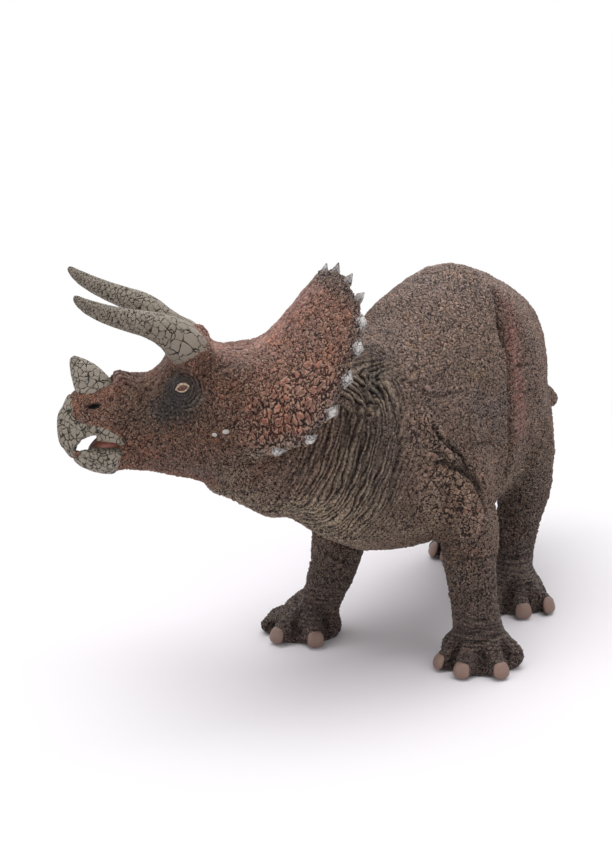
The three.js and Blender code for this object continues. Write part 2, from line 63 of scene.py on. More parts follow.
# Square lamps that all look at the middle of the floor; places and sizes in metres
lamps = [
    {"name": "overhead", "at": (-0.03, -0.03, 0.9), "size": 0.85, "watts": 6.2},
    {"name": "frontLeft", "at": (-0.55, -0.9, 0.5), "size": 0.9, "watts": 2.4},
    {"name": "right", "at": (0.85, -0.3, 0.5), "size": 0.8, "watts": 1.2},
    {"name": "rear", "at": (0.0, 0.85, 0.5), "size": 0.8, "watts": 1.4},
]


def addLamps():
    for lamp in lamps:
        data = bpy.data.lights.new(lamp["name"], "AREA")
        data.size = lamp["size"]
        data.energy = lamp["watts"]
        ob = bpy.data.objects.new(lamp["name"], data)
        ob.location = lamp["at"]
        ob.rotation_euler = Vector(lamp["at"]).to_track_quat("Z", "Y").to_euler()
        bpy.context.scene.collection.objects.link(ob)


def deselectAll():
    if bpy.context.object and bpy.context.object.mode != "OBJECT":
        bpy.ops.object.mode_set(mode="OBJECT")
    bpy.ops.object.select_all(action="DESELECT")


def makeActive(ob):
    deselectAll()
    bpy.context.view_layer.objects.active = ob
    ob.select_set(True)


def editAll(ob, *steps):
    # does the steps in edit mode with the whole mesh selected
    makeActive(ob)
    bpy.ops.object.mode_set(mode="EDIT")
    bpy.ops.mesh.select_all(action="SELECT")
    for operator, settings in steps:
        operator(**settings)
    bpy.ops.object.mode_set(mode="OBJECT")


def faceOutward(ob):
    editAll(ob, (bpy.ops.mesh.normals_make_consistent, {"inside": False}))


def shadeSmooth(ob):
    ob.data.polygons.foreach_set("use_smooth", np.ones(len(ob.data.polygons), bool))


# Node helpers, for materials and geometry alike
def put(tree, kind, inputs=None, **settings):
    node = tree.nodes.new(kind)
    for key, value in settings.items():
        setattr(node, key, value)
    for key, value in (inputs or {}).items():
        if isinstance(value, bpy.types.NodeSocket):
            tree.links.new(value, node.inputs[key])
        else:
            node.inputs[key].default_value = value
    return node


def calc(tree, operation, *values, clamp=False):
    return put(tree, "ShaderNodeMath", dict(enumerate(values)), operation=operation, use_clamp=clamp).outputs[0]


def vectorCalc(tree, operation, *values):
    return put(tree, "ShaderNodeVectorMath", dict(enumerate(values)), operation=operation).outputs[0]


def scaled(tree, vector, amount):
    return put(tree, "ShaderNodeVectorMath", {0: vector, 3: amount}, operation="SCALE").outputs[0]


def fade(tree, value, low, high, start=0.0, end=1.0):
    return put(tree, "ShaderNodeMapRange", {0: value, 1: low, 2: high, 3: start, 4: end},
               interpolation_type="SMOOTHSTEP").outputs[0]


def blendNumber(tree, share, a, b):
    return put(tree, "ShaderNodeMix", {0: share, 2: a, 3: b}, data_type="FLOAT").outputs[0]


def blendColor(tree, share, a, b, kind="MIX"):
    return put(tree, "ShaderNodeMix", {0: share, 6: a, 7: b}, data_type="RGBA", blend_type=kind).outputs[2]


def noise(tree, at, scale, detail=2.0, roughness=0.5):
    return put(tree, "ShaderNodeTexNoise", {"Vector": at, "Scale": scale, "Detail": detail, "Roughness": roughness})


def cells(tree, at, scale, feature, randomness=1.0):
    return put(tree, "ShaderNodeTexVoronoi", {"Vector": at, "Scale": scale, "Randomness": randomness},
               feature=feature)


def splitVector(tree, vector):
    return put(tree, "ShaderNodeSeparateXYZ", {0: vector}).outputs


def multiply(tree, a, b):
    return calc(tree, "MULTIPLY", a, b)


def centred(tree, at, scale, *detail):
    # a noise vector that is zero on average
    return vectorCalc(tree, "SUBTRACT", noise(tree, at, scale, *detail).outputs["Color"], (0.5, 0.5, 0.5))


def seenBy(tree, *rays):
    # one for the named kinds of ray, so that the light on the figure stays as it is
    path = put(tree, "ShaderNodeLightPath")
    share = path.outputs[rays[0]]
    for ray in rays[1:]:
        share = calc(tree, "ADD", share, path.outputs[ray], clamp=True)
    return share


def hexColor(code):
    values = [int(code[i:i + 2], 16) / 255 for i in (1, 3, 5)]
    return tuple(v / 12.92 if v <= 0.04045 else ((v + 0.055) / 1.055) ** 2.4 for v in values) + (1.0,)


# Floor and backdrop: the floor lies just under the soles and fades to white between two distances
floorLook = {"size": 8, "drop": 0.0002, "color": "#f6f2f7", "roughness": 0.9, "fade": (0.05, 0.24), "ambient": 0.45}


def addFloor():
    bpy.ops.mesh.primitive_plane_add(size=floorLook["size"], location=(0, 0, -floorLook["drop"]))
    floor = bpy.context.object
    floor.name = "floor"
    material = bpy.data.materials.new("paleFloor")
    material.use_nodes = True
    tree = material.node_tree
    shader = tree.nodes["Principled BSDF"]
    shader.inputs["Base Color"].default_value = hexColor(floorLook["color"])
    shader.inputs["Roughness"].default_value = floorLook["roughness"]
    place = put(tree, "ShaderNodeTexCoord").outputs["Object"]
    away = put(tree, "ShaderNodeVectorMath", {0: place}, operation="LENGTH").outputs["Value"]
    seen = seenBy(tree, "Is Camera Ray", "Is Glossy Ray", "Is Transmission Ray")
    share = multiply(tree, seen, fade(tree, away, *floorLook["fade"]))
    white = put(tree, "ShaderNodeEmission", {"Color": (1, 1, 1, 1), "Strength": 1.0}).outputs[0]
    mix = put(tree, "ShaderNodeMixShader", {0: share, 1: shader.outputs[0], 2: white})
    tree.links.new(mix.outputs[0], tree.nodes["Material Output"].inputs["Surface"])
    floor.data.materials.append(material)


def addWorld():
    world = bpy.data.worlds.new("studio")
    world.use_nodes = True
    bpy.context.scene.world = world
    tree = world.node_tree
    background = tree.nodes["Background"]
    background.inputs["Color"].default_value = (1, 1, 1, 1)
    strength = blendNumber(tree, seenBy(tree, "Is Camera Ray", "Is Glossy Ray"), floorLook["ambient"], 1.0)
    tree.links.new(strength, background.inputs["Strength"])


bpy.context.scene.view_settings.view_transform = "Standard"
addCamera()
addLamps()
deselectAll()
addFloor()
addWorld()
print("studio ready")

# The head's own frame: its middle, and its ways out to the left and ahead. Lengths from here on are in millimetres
headAt = np.array([9.88, -50.24, 80.96])
headOut = np.array([0.5446, -0.8387, 0.0])
headAhead = np.array([-0.8387, -0.5446, 0.0])
upright = np.array([0, 0, 1])


def headWay(out, ahead, up):
    return out * headOut + ahead * headAhead + np.array([0, 0, up])


def headSpot(out, ahead, up):
    return headAt + out * headOut + ahead * headAhead + np.array([0, 0, up])


def sideSpot(side, place):
    return headSpot(side * place[0], place[1], place[2])


# Base skin: the moulded pieces as one fine, even mesh. It is smoothed less at the feet and the snout, and parted where
# the fore body meets the hind body. The fillers close the sockets of the horns: place and radius
skin = {"nodes": ["torso", "head", "tail", "fore_leg_left", "fore_leg_right", "hind_leg_left", "hind_leg_right",
                  "upper_beak", "lower_beak", "eye_left", "eye_right"],
        "fillers": [(headSpot(7.4, 37.5, 17.5), 5.4), (headSpot(-7.4, 37.5, 17.5), 5.4), (headSpot(0, 63, 5.5), 4.2)],
        "voxel": 0.82, "rounds": 25, "returnRounds": 60, "weight": 0.6, "feetLess": 0.5, "ankles": (9, 16),
        "snoutWeight": 0.35, "snoutFrom": 45, "parting": 1}


def joinedCopy(name, nodes, spheres=()):
    parts = []
    for node in nodes:
        ob = bpy.data.objects.new(node + "Copy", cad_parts[node].data.copy())
        ob.data.materials.clear()
        bpy.context.scene.collection.objects.link(ob)
        parts.append(ob)
    for place, radius in spheres:
        bpy.ops.mesh.primitive_uv_sphere_add(segments=24, ring_count=16, radius=radius * mm, location=place * mm)
        parts.append(bpy.context.object)
    deselectAll()
    for ob in parts:
        ob.select_set(True)
    bpy.context.view_layer.objects.active = parts[0]
    bpy.ops.object.join()
    ob = bpy.context.object
    ob.name = name
    editAll(ob, (bpy.ops.mesh.remove_doubles, {"threshold": 1e-6}))
    return ob


def applyModifier(ob, kind, **settings):
    makeActive(ob)
    modifier = ob.modifiers.new(kind.lower(), kind)
    for key, value in settings.items():
        setattr(modifier, key, value)
    bpy.ops.object.modifier_apply(modifier=modifier.name)


def keepLargestShell(ob):
    name = ob.name
    editAll(ob, (bpy.ops.mesh.separate, {"type": "LOOSE"}))
    shells = sorted(bpy.context.selected_objects, key=lambda o: len(o.data.vertices))
    for shell in shells[:-1]:
        bpy.data.objects.remove(shell)
    shells[-1].name = name
    return shells[-1]


def getPoints(ob):
    values = np.empty(len(ob.data.vertices) * 3, np.float32)
    ob.data.vertices.foreach_get("co", values)
    return values.reshape(-1, 3).astype(float) / mm


def setPoints(ob, points):
    ob.data.vertices.foreach_set("co", (points * mm).astype(np.float32).ravel())
    ob.data.update()


def getNormals(ob):
    values = np.empty(len(ob.data.vertices) * 3, np.float32)
    ob.data.vertex_normals.foreach_get("vector", values)
    return values.reshape(-1, 3).astype(float)


def store(ob, name, values):
    kind = "FLOAT_VECTOR" if values.ndim == 2 else "FLOAT"
    attribute = ob.data.attributes.get(name) or ob.data.attributes.new(name, kind, "POINT")
    attribute.data.foreach_set("vector" if values.ndim == 2 else "value", values.astype(np.float32).ravel())


def smoothed(ob, field, rounds, weight):
    edges = np.empty(len(ob.data.edges) * 2, np.int32)
    ob.data.edges.foreach_get("vertices", edges)
    a, b = edges[0::2], edges[1::2]
    count = len(field)
    degree = np.bincount(a, minlength=count) + np.bincount(b, minlength=count)
    field = field.copy()
    for _ in range(rounds):
        for k in range(field.shape[1]):
            column = field[:, k]
            total = np.bincount(a, column[b], count) + np.bincount(b, column[a], count)
            field[:, k] = column + weight * (total / degree - column)
    return field


def roundOff(ob, rounds, returnRounds, weight=skin["weight"]):
    # smooths the facets away and gives back what the smoothing took from the round forms
    points = getPoints(ob)
    even = smoothed(ob, points, rounds, weight)
    loss = smoothed(ob, points - even, returnRounds, skin["weight"])
    setPoints(ob, even + loss)


def step(values, low, high):
    t = np.clip((values - low) / (high - low), 0, 1)
    return t * t * (3 - 2 * t)


def smoothLine(line, steps=6):
    # a line of points drawn through the given ones
    p = np.array(line, float)
    if len(p) < 3:
        return p
    q = np.vstack([2 * p[0] - p[1], p, 2 * p[-1] - p[-2]])
    out = []
    for i in range(1, len(q) - 2):
        for t in np.arange(steps) / steps:
            out.append(0.5 * (2 * q[i] + (q[i + 1] - q[i - 1]) * t
                              + (2 * q[i - 1] - 5 * q[i] + 4 * q[i + 1] - q[i + 2]) * t * t
                              + (3 * q[i] - q[i - 1] - 3 * q[i + 1] + q[i + 2]) * t ** 3))
    return np.array(out + [q[-2]])


def reach(points, line, limit):
    # the points near a line, how far each is from it, and where along it
    line = np.array(line, float)
    near = np.nonzero(((points > line.min(0) - limit) & (points < line.max(0) + limit)).all(1))[0]
    p = points[near]
    best = np.full(len(near), 1e9)
    along = np.zeros(len(near))
    if len(line) == 1:
        return near, np.linalg.norm(p - line[0], axis=1), along + 0.5
    for i in range(len(line) - 1):
        a, d = line[i], line[i + 1] - line[i]
        t = np.clip((p - a) @ d / max(d @ d, 1e-9), 0, 1)
        distance = np.linalg.norm(p - a - t[:, None] * d, axis=1)
        closer = distance < best
        best[closer] = distance[closer]
        along[closer] = (i + t[closer]) / (len(line) - 1)
    return near, best, along


skinNodes = skin["nodes"]
base = joinedCopy("skin", skinNodes, skin["fillers"])
applyModifier(base, "REMESH", mode="VOXEL", voxel_size=skin["voxel"] * mm)
base = keepLargestShell(base)
points = getPoints(base)
weight = skin["weight"] - skin["feetLess"] * (1 - step(points[:, 2], *skin["ankles"]))
along = (points - headAt) @ headAhead
weight = np.where(along > skin["snoutFrom"], np.minimum(weight, skin["snoutWeight"]), weight)
roundOff(base, skin["rounds"], skin["returnRounds"], weight)
print("skin remeshed", len(base.data.vertices))

# The mouth: a straight gap between the beaks. Its outline goes across and up from the near lip, in steps
mouth = {"near": (-43.7, -91.2, 75.0), "toward": 14, "away": 26, "step": 0.2915,
         "outline": [(-12, -7), (-8.5, 0), (-4, 4.6), (1, 7.4), (7, 9), (13, 9), (13, 4), (9, -2), (6, -5.5),
                     (-2, -7)]}


def mouthCutter():
    back = np.array(towardCamera)
    across = np.array([math.cos(azimuth), math.sin(azimuth), 0])
    rise = np.cross(back, across)
    count = len(mouth["outline"])
    bpy.ops.mesh.primitive_cylinder_add(vertices=count, radius=mm, depth=mm)
    cutter = bpy.context.object
    at = getPoints(cutter)
    for k in range(len(at)):
        x, y = mouth["outline"][k // 2]
        reachOut = mouth["toward"] if k % 2 else -mouth["away"]
        at[k] = mouth["near"] + mouth["step"] * (x * across + y * rise) + reachOut * back
    setPoints(cutter, at)
    faceOutward(cutter)
    return cutter


mouthGap = mouthCutter()
applyModifier(base, "BOOLEAN", operation="DIFFERENCE", object=mouthGap, solver="MANIFOLD")

# Broad forms under the skin: muscles and hollows. The trunk has its own middle plane
trunkMiddle = 17.08


def mirrored(line):
    line = np.array(line, float)
    return np.column_stack([2 * trunkMiddle - line[:, 0], line[:, 1:]])


def headLine(line, side=1):
    return np.array([headSpot(side * out, ahead, up) for out, ahead, up in line])


# Corrections of the moulded shape: middle, width and move; those of the head are out, ahead and up
bodyNudges = [
    ((-18.2, -24.6, 11), 6, (3.4, 1.6, -1)), ((-16.8, -24, 20), 6, (1.6, 0.8, 0)), ((23, 16, 106), 14, (0, 0, 2.2)),
    ((25.3, 87, 49.5), 8, (-1.4, 0, -3.2)), ((6.6, -62.5, 52), 7, (0, 1.2, 1.8)), ((-27, -85, 69.5), 7, (0, 0, 0.9)),
    ((-14.4, -81, 67.5), 7, (0, 0, 1.2)), ((-9.8, -75, 63), 6, (0, 0, 1.0)), ((-20, -25.5, 9), 4.5, (2.4, 1.1, -1.8)),
    ((46.8, -15, 49), 6, (-4, -0.8, 0)), ((-19.5, -79.7, 65.3), 6, (0, 0, 0.8)), ((-11, -70, 57.5), 6, (0, 0.5, 1.0)),
    ((-2.1, -64.6, 52.4), 6, (0, -0.4, -0.9)), ((47.5, 26, 11), 8, (-3.0, -0.3, 0)),
    ((25.3, 88, 53.5), 5.5, (-0.6, 0, -4.2)), ((-21, -24.5, 4), 4, (-2.4, -0.8, 0)),
    ((-17, -25.5, 12.5), 5.5, (3.4, 1.4, -1.6)), ((2, -56, 50), 6, (0, 2.4, 1.2)),
]
headNudges = [
    ((6.5, 0, 38), 7, (0, -2.1, 1.8)), ((-12, -2, 36.5), 11, (0, 1.5, -3.6)), ((0, 47, 16), 6, (0, 0, 0.7)),
    ((0, 58, 11.5), 3, (0, 0, 1.5)), ((0, 22, 19), 9, (0, 0, -0.9)), ((-11, 34, 23), 4, (0, 0, -1.2)),
]


def nudged(points):
    points = np.array(points, float)
    for place, width, move in bodyNudges:
        points = points + np.exp(-((points - place) ** 2).sum(-1) / width ** 2)[..., None] * np.array(move)
    for place, width, move in headNudges:
        share = np.exp(-((points - headSpot(*place)) ** 2).sum(-1) / width ** 2)
        points = points + share[..., None] * headWay(*move)
    return points


# Feet: name, centre, side, turns of the toes with a nail, and of those without
feet = [
    ("foreLeft", (44.08, -21.24), 1, (-42, -2, 50), (98, -85)),
    ("foreRight", (-10.92, -21.24), -1, (-38, 16), (72, -88)),
    ("hindLeft", (37.58, 25.76), 1, (-50, -12, 32, 73), ()), ("hindRight", (10.08, 59.76), -1, (-60, -20, 16, 48), ()),
]
# Toes and the clefts between them: points are given as distance from the foot's centre and height
toes = {"start": (7, 9), "bareStart": (7.5, 5.5), "knuckle": (9, 6.5), "end": (10.4, 4), "width": 2.2, "height": 1.4,
        "cleft": ((8, 8), (10.5, 5), (12, 1)), "cleftWidth": 1.4, "cleftDepth": 1.3, "cleftLine": (0.7, 0.7),
        "tip": (12.2, 3), "tipWidth": 3.6, "tipSmooth": 0.85}


def toeLine(centre, side, turn, ends):
    a = math.radians(side * turn)
    return [(centre[0] + r * math.sin(a), centre[1] - r * math.cos(a), z) for r, z in ends]


toeRidges, toeClefts = [], []
for _, centre, side, withNail, bare in feet:
    turns = sorted(withNail + bare)
    toeRidges += [toeLine(centre, side, t, (toes["start" if t in withNail else "bareStart"], toes["knuckle"],
                                            toes["end"])) for t in turns]
    toeClefts += [toeLine(centre, side, (t + u) / 2, toes["cleft"]) for t, u in zip(turns, turns[1:])]

# Line, width and height of each form, on both sides; those of the head are out, ahead and up
trunkForms = [
    ([(38, 10, 90), (42, 7, 78), (44, 5, 64), (43, 6, 50)], 3.2, -1.6),
    ([(37, 24, 93), (43, 28, 82), (45, 30, 68), (43, 30, 52)], 8, 1.4),
    ([(37, -39, 58), (40, -34.5, 55), (43, -30, 50)], 5, 1.2),
    ([(36.5, -36, 67), (39, -30, 63.5)], 1.6, 0.8),
    ([(44, -25, 42), (46, -23, 36)], 4.5, 1.0),
    ([(38, -20, 80), (41, -14, 70)], 7, -0.8),
    ([(38, -10, 90), (41, -2, 84)], 8, 1.0),
]
headForms = [
    ([(15, 40, 15), (14, 47, 11)], 3.0, 1.0),
    ([(15, 28, -4), (14, 36, -8)], 6, 0.8),
]


def push(points, normals, line, width, height):
    near, distance, _ = reach(points, smoothLine(line), 3 * width)
    points[near] += normals[near] * (height * np.exp(-(distance / width) ** 2))[:, None]


setPoints(base, nudged(getPoints(base)))
points, normals = getPoints(base), getNormals(base)
for line in toeRidges:
    push(points, normals, line, toes["width"], toes["height"])
for line in toeClefts:
    push(points, normals, line, toes["cleftWidth"], -toes["cleftDepth"])
for line, width, height in trunkForms:
    for way in (line, mirrored(line)):
        push(points, normals, way, width, height)
for line, width, height in headForms:
    for side in (1, -1):
        push(points, normals, headLine(line, side), width, height)
setPoints(base, points)
applyModifier(base, "SUBSURF", levels=1, render_levels=1)
print("skin subdivided", len(base.data.vertices))

# Which moulding each point belongs to
allPoints, allFaces, owner = [], [], []
for number, name in enumerate(skinNodes):
    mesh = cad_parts[name].data
    first = len(allPoints)
    allPoints += [v.co / mm for v in mesh.vertices]
    for polygon in mesh.polygons:
        allFaces.append([first + i for i in polygon.vertices])
        owner.append(number)
finder = BVHTree.FromPolygons(allPoints, allFaces)
points = getPoints(base)
label = np.array([owner[finder.find_nearest(p)[2]] for p in points.tolist()])
isHead = np.isin(label, [skinNodes.index(n) for n in ("head", "upper_beak", "lower_beak", "eye_left", "eye_right")])
label[isHead] = skinNodes.index("head")
print("mouldings told apart")

# Folds: line, width and depth. The first list has a twin on the right side of the trunk, the second has none, and
# the third is on both sides of the head, given as out, ahead and up
bothSides = [
    ([(35.5, -38.4, 64.1), (36.2, -36.6, 64.5), (37.3, -33.8, 63.8), (38.2, -31.5, 61.8), (40.2, -29.6, 60.3),
      (42.3, -27.4, 58.2), (43.7, -26.2, 55.6), (45.2, -25.1, 51.9), (46.2, -23.7, 47.8)], 0.7, 1.6),
    ([(34.4, -36.7, 75), (36.2, -34.9, 71.3), (37.8, -31.5, 67.5), (39.4, -27.9, 63.8), (41.2, -27.7, 61.3),
      (43.5, -26.4, 56.2)], 0.65, 1.5),
    ([(36, -37, 67.5), (37, -33.5, 65.5), (38.5, -31, 63.5), (40, -29.5, 61.5), (41.5, -28.5, 59.5)], 0.7, 1.1),
    ([(28.5, -37, 87), (30.5, -35.5, 85), (32, -34.5, 83), (33.5, -33, 82), (35, -30, 81.5), (36, -26, 81.5),
      (37.5, -22, 81), (38.5, -17, 81)], 0.45, 0.6),
    ([(25.5, -40, 88), (28, -38.5, 87), (30, -37, 85), (31.5, -35.5, 83), (33, -35, 81)], 0.5, 0.5),
    ([(34.5, -17.4, 89.3), (33.4, -24.5, 87.3), (32.2, -31, 85.4)], 0.35, 0.45),
    ([(39.5, -20.5, 76), (40, -22, 72), (40.5, -22.5, 67.5), (41, -25, 65)], 0.4, 0.6),
    ([(40.5, -25.5, 66.5), (41.5, -22, 65.5), (42, -14.5, 64.5), (43, -4, 61.5)], 0.4, 0.7),
    ([(31, 17, 98), (35.5, 12.5, 92), (39, 9, 85.5), (41, 6.5, 78.5), (42.5, 4, 71), (43, 4, 63), (42.5, 5, 55.5),
      (41, 6, 48)], 1.8, 3.0),
    ([(40.5, 9.5, 80.5), (41, 16.5, 78.5), (41, 24, 76.5)], 0.5, 0.6),
    ([(42, 7, 73.5), (42.5, 14, 71.5), (42.5, 23, 69.5)], 0.5, 0.6),
    ([(35, -25.5, 33), (39, -27, 33.5), (43, -26, 33.5), (46, -23, 33.5), (47, -19, 33.5)], 0.5, 0.6),
    ([(37, -25, 11), (41, -28, 12), (45, -28, 12), (48, -25.5, 13), (50, -22, 13)], 0.6, 0.7),
    ([(38.5, -26.5, 9), (42.5, -28.5, 9.5), (46, -28.5, 9.5), (49, -26, 10), (50.5, -21.5, 11)], 0.6, 0.8),
    ([(39, -26.5, 15.5), (42.5, -28, 16), (45.5, -27, 15.5), (48.5, -24.5, 16), (49, -21.5, 16)], 0.5, 0.5),
    ([(39, -26.5, 23.5), (43.5, -26.5, 23.5), (46.5, -24, 24), (47.5, -20.5, 23.5)], 0.5, 0.4),
]
oneSide = [
    ([(15.5, -35.5, 95), (19, -42.5, 91.5), (21, -47, 87.5), (22.5, -50, 84)], 0.7, 1.0),
    ([(17, -35, 95), (20, -41.5, 91.5), (22, -46, 87.5), (24, -48.5, 83.5)], 0.6, 0.8),
    ([(19, -36.5, 94), (21.5, -42, 90.5), (24, -46, 85.5)], 0.6, 0.8),
    ([(18.5, -49.5, 88), (20.5, -51, 85.5), (22, -52.5, 82), (22.5, -54.5, 79)], 0.7, 1.0),
    ([(18.5, -45.5, 90.5), (21, -48.5, 87), (23, -50, 83.5), (24, -52, 80)], 0.6, 0.9),
    ([(18.5, -53.5, 85), (20.5, -55, 81.5), (20.5, -57, 77.5), (20, -59.5, 74)], 0.7, 1.0),
    ([(17.5, -56.5, 83), (18.5, -58.5, 79), (18.5, -60.5, 75), (17.5, -62, 71)], 0.7, 0.9),
    ([(22.5, -54.5, 79), (22, -56.5, 75), (22, -58, 70), (20.5, -59.5, 65.5), (19, -60, 61)], 0.8, 0.9),
    ([(24, -52, 79.5), (24, -54.5, 75), (23.5, -56.5, 70.5), (22.5, -57.5, 64.5), (21, -57.5, 58)], 0.7, 0.8),
    ([(25.5, -50, 79), (26, -52, 74), (26, -54, 67.5), (24.5, -54.5, 60.5)], 0.7, 0.7),
    ([(28.5, -47, 76), (29.5, -48.5, 70.5), (29, -49.5, 65), (28, -50, 59), (26.5, -49, 52.5)], 0.8, 0.7),
    ([(15, -61.5, 78.5), (14.5, -64, 74.5), (13.5, -65.5, 71.5), (11.5, -67, 68)], 0.7, 0.8),
    ([(12.5, -65.5, 74.5), (11, -67, 71), (9, -69, 68), (6.5, -70, 65.5)], 0.6, 0.7),
    ([(10.5, -27, 95.5), (13.5, -26, 96.5), (17.5, -27, 96.5), (21, -28, 96)], 0.5, 0.5),
    ([(-6, -27.5, 13.5), (-3, -26.5, 13), (-0.5, -24, 12)], 0.5, 0.6),
    ([(-7.5, -28, 11), (-4, -27, 9.5), (-2, -24, 7.5)], 0.5, 0.6),
    ([(-5, -26, 31.5), (-2, -27, 28.5), (2, -26, 26.5), (5, -21, 24.5)], 0.6, 0.5),
    ([(32.5, 25.5, 15), (36, 25, 15), (38.5, 26.5, 15), (40.5, 30.5, 14.5)], 0.5, 0.5),
    ([(36, 19, 9.5), (39, 18.5, 9.5), (42, 20.5, 10), (44, 23.5, 10.5)], 0.5, 0.6),
    ([(37, 17, 8), (40, 17.5, 7.5), (42.5, 19.5, 8.5), (44.5, 22.5, 9)], 0.5, 0.6),
]
headFolds = [
    ([(20, 26, 3), (19, 22, 6), (18.5, 18, 9)], 0.4, 0.5),
    ([(26, 9, 4.5), (25.5, 12, 3), (25, 14.5, 1.5)], 0.4, 0.4),
    ([(8, 56.5, -5.5), (10, 54.5, -7), (10.5, 53.5, -9.5), (9.5, 53.5, -12)], 0.5, 0.5),
    ([(4.5, 56, 10), (6, 53, 9.5), (7, 50, 9.2), (8, 47, 10)], 0.4, 0.4),
]
# painted shade in the carved grooves and clefts, darker where they are deeper
grooveShadeAmount = np.zeros(len(points))
foldShape = {"reach": 4, "taper": (0.92, 0.04), "lip": 0.2, "lipAt": 2.1, "lipWidth": 0.9, "shadeDepth": 1.3}


def onSurface(points, line, limit=5):
    # the line, moved to the nearest points of the skin
    near = points[((points > line.min(0) - limit) & (points < line.max(0) + limit)).all(1)]
    return np.array([near[((near - spot) ** 2).sum(1).argmin()] for spot in line])


def carve(points, normals, line, width, depth, grooveShadeAmount, lip=foldShape["lip"]):
    # a groove that thins out at both ends, with a raised lip on each side and painted shade, darker where deeper
    line = onSurface(points, smoothLine(line))
    near, distance, along = reach(points, line, foldShape["reach"] * width)
    stretch, start = foldShape["taper"]
    taper = np.sin(np.pi * np.clip(along * stretch + start, 0, 1)) ** 0.5
    groove = np.exp(-(distance / width) ** 2) * taper
    raised = np.exp(-((distance - foldShape["lipAt"] * width) / (foldShape["lipWidth"] * width)) ** 2) * taper
    points[near] += normals[near] * (depth * (lip * raised - groove))[:, None]
    np.maximum.at(grooveShadeAmount, near, groove * min(1, depth / foldShape["shadeDepth"]))


normals = getNormals(base)
for line, width, depth in bothSides:
    for way in (line, mirrored(line)):
        carve(points, normals, way, width, depth, grooveShadeAmount)
for line, width, depth in oneSide:
    carve(points, normals, line, width, depth, grooveShadeAmount)
for line in toeClefts:
    carve(points, normals, line, *toes["cleftLine"], grooveShadeAmount)
for line, width, depth in headFolds:
    for side in (1, -1):
        carve(points, normals, headLine(line, side), width, depth, grooveShadeAmount)

# Nostrils and lids; a tilt is in degrees
sideLimit = 5.5
farAway = 99
nostril = {"at": (7, 64.4, 4.5), "length": 1.65, "height": 0.62, "depth": 1.5, "tilt": -12, "rim": 0.35,
           "rimAt": 1.7, "rimWidth": 0.45, "dark": 1.6, "darkTo": 1.05}
eye = {"at": (11.05, 41.3, 11.1), "length": 1.75, "top": 1.15, "bottom": 0.95, "tilt": -14, "hollow": 2.1,
       "ball": 2.7, "lidSphere": 2.95, "skinGap": 0.1, "lid": 0.2, "iris": 1.2, "across": 4.4, "reach": 7,
       "fade": (2.9, 4.3), "rings": ((3.4, 0.15), (4.1, -0.12), (4.8, 0.1), (5.6, -0.06)), "ringWidth": 0.35,
       "ringOval": 1.35}


def spotPlace(points, side, spot):
    # along and across a tilted spot on the head's side, and whether it is on that side
    d = points - sideSpot(side, spot["at"])
    t = math.radians(spot["tilt"])
    ahead, up = d @ headAhead, d[:, 2]
    return (ahead * math.cos(t) + up * math.sin(t), up * math.cos(t) - ahead * math.sin(t),
            np.abs(d @ headOut) < sideLimit)


def ovalDistance(points, side, spot):
    x, y, near = spotPlace(points, side, spot)
    return np.where(near, np.sqrt((x / spot["length"]) ** 2 + (y / spot["height"]) ** 2), farAway)


def almondPlace(points, side):
    # as above, and below one inside the opening between the lids
    x, y, near = spotPlace(points, side, eye)
    inside = (x / eye["length"]) ** 2 + np.abs(y) / np.where(y > 0, eye["top"], eye["bottom"])
    return x, y, np.where(near, inside, farAway)


def almondOutline(angle):
    x = eye["length"] * np.cos(angle)
    y = (1 - np.cos(angle) ** 2) * np.where(np.sin(angle) > 0, eye["top"], -eye["bottom"])
    return x, y


for side in (1, -1):
    oval = ovalDistance(points, side, nostril)
    rim = nostril["rim"] * np.exp(-((oval - nostril["rimAt"]) / nostril["rimWidth"]) ** 2)
    points += normals * (-nostril["depth"] * np.exp(-oval ** 4) + rim)[:, None]
    # painted shade in the hollow of each nostril
    grooveShadeAmount = np.maximum(grooveShadeAmount, nostril["dark"] * np.exp(-(oval / nostril["darkTo"]) ** 6))
    x, y, inside = almondPlace(points, side)
    nearEye = inside < farAway
    fromEye = points - sideSpot(side, eye["at"])
    far = np.linalg.norm(fromEye, axis=1)
    off = np.hypot(x, y)
    lids = nearEye & (off < eye["across"]) & (far < eye["reach"]) & (side * (fromEye @ headOut) > 0)
    wanted = np.where(inside < 1, eye["hollow"], np.maximum(eye["lidSphere"] + eye["skinGap"], far))
    share = (1 - step(off, *eye["fade"])) * lids
    points += fromEye / far[:, None] * ((wanted - far) * share)[:, None]
    ring = np.where(nearEye, np.hypot(x, y * eye["ringOval"]), farAway)
    for radius, height in eye["rings"]:
        points += normals * (height * np.exp(-((ring - radius) / eye["ringWidth"]) ** 2))[:, None]

# A row of low knobs behind the flank fold
knobs = {"at": (44.5, 37), "heights": range(48, 96, 4), "width": 1.5, "rise": 0.7}
for height in knobs["heights"]:
    push(points, normals, [(*knobs["at"], height)], knobs["width"], knobs["rise"])
setPoints(base, points)
print("folds carved")

# Where the paints go, and which way the wrinkles run
rimLine = [(0, 2, 38.2), (4.9, 1, 38), (10.8, -2, 37), (17.9, -5, 35), (23.8, -5, 30.2), (27.8, -3.4, 24.4),
           (29.8, -0.3, 16.5), (29.8, 3.8, 7.6), (27.8, 9.4, -0.3), (23.9, 17.5, -4.4)]
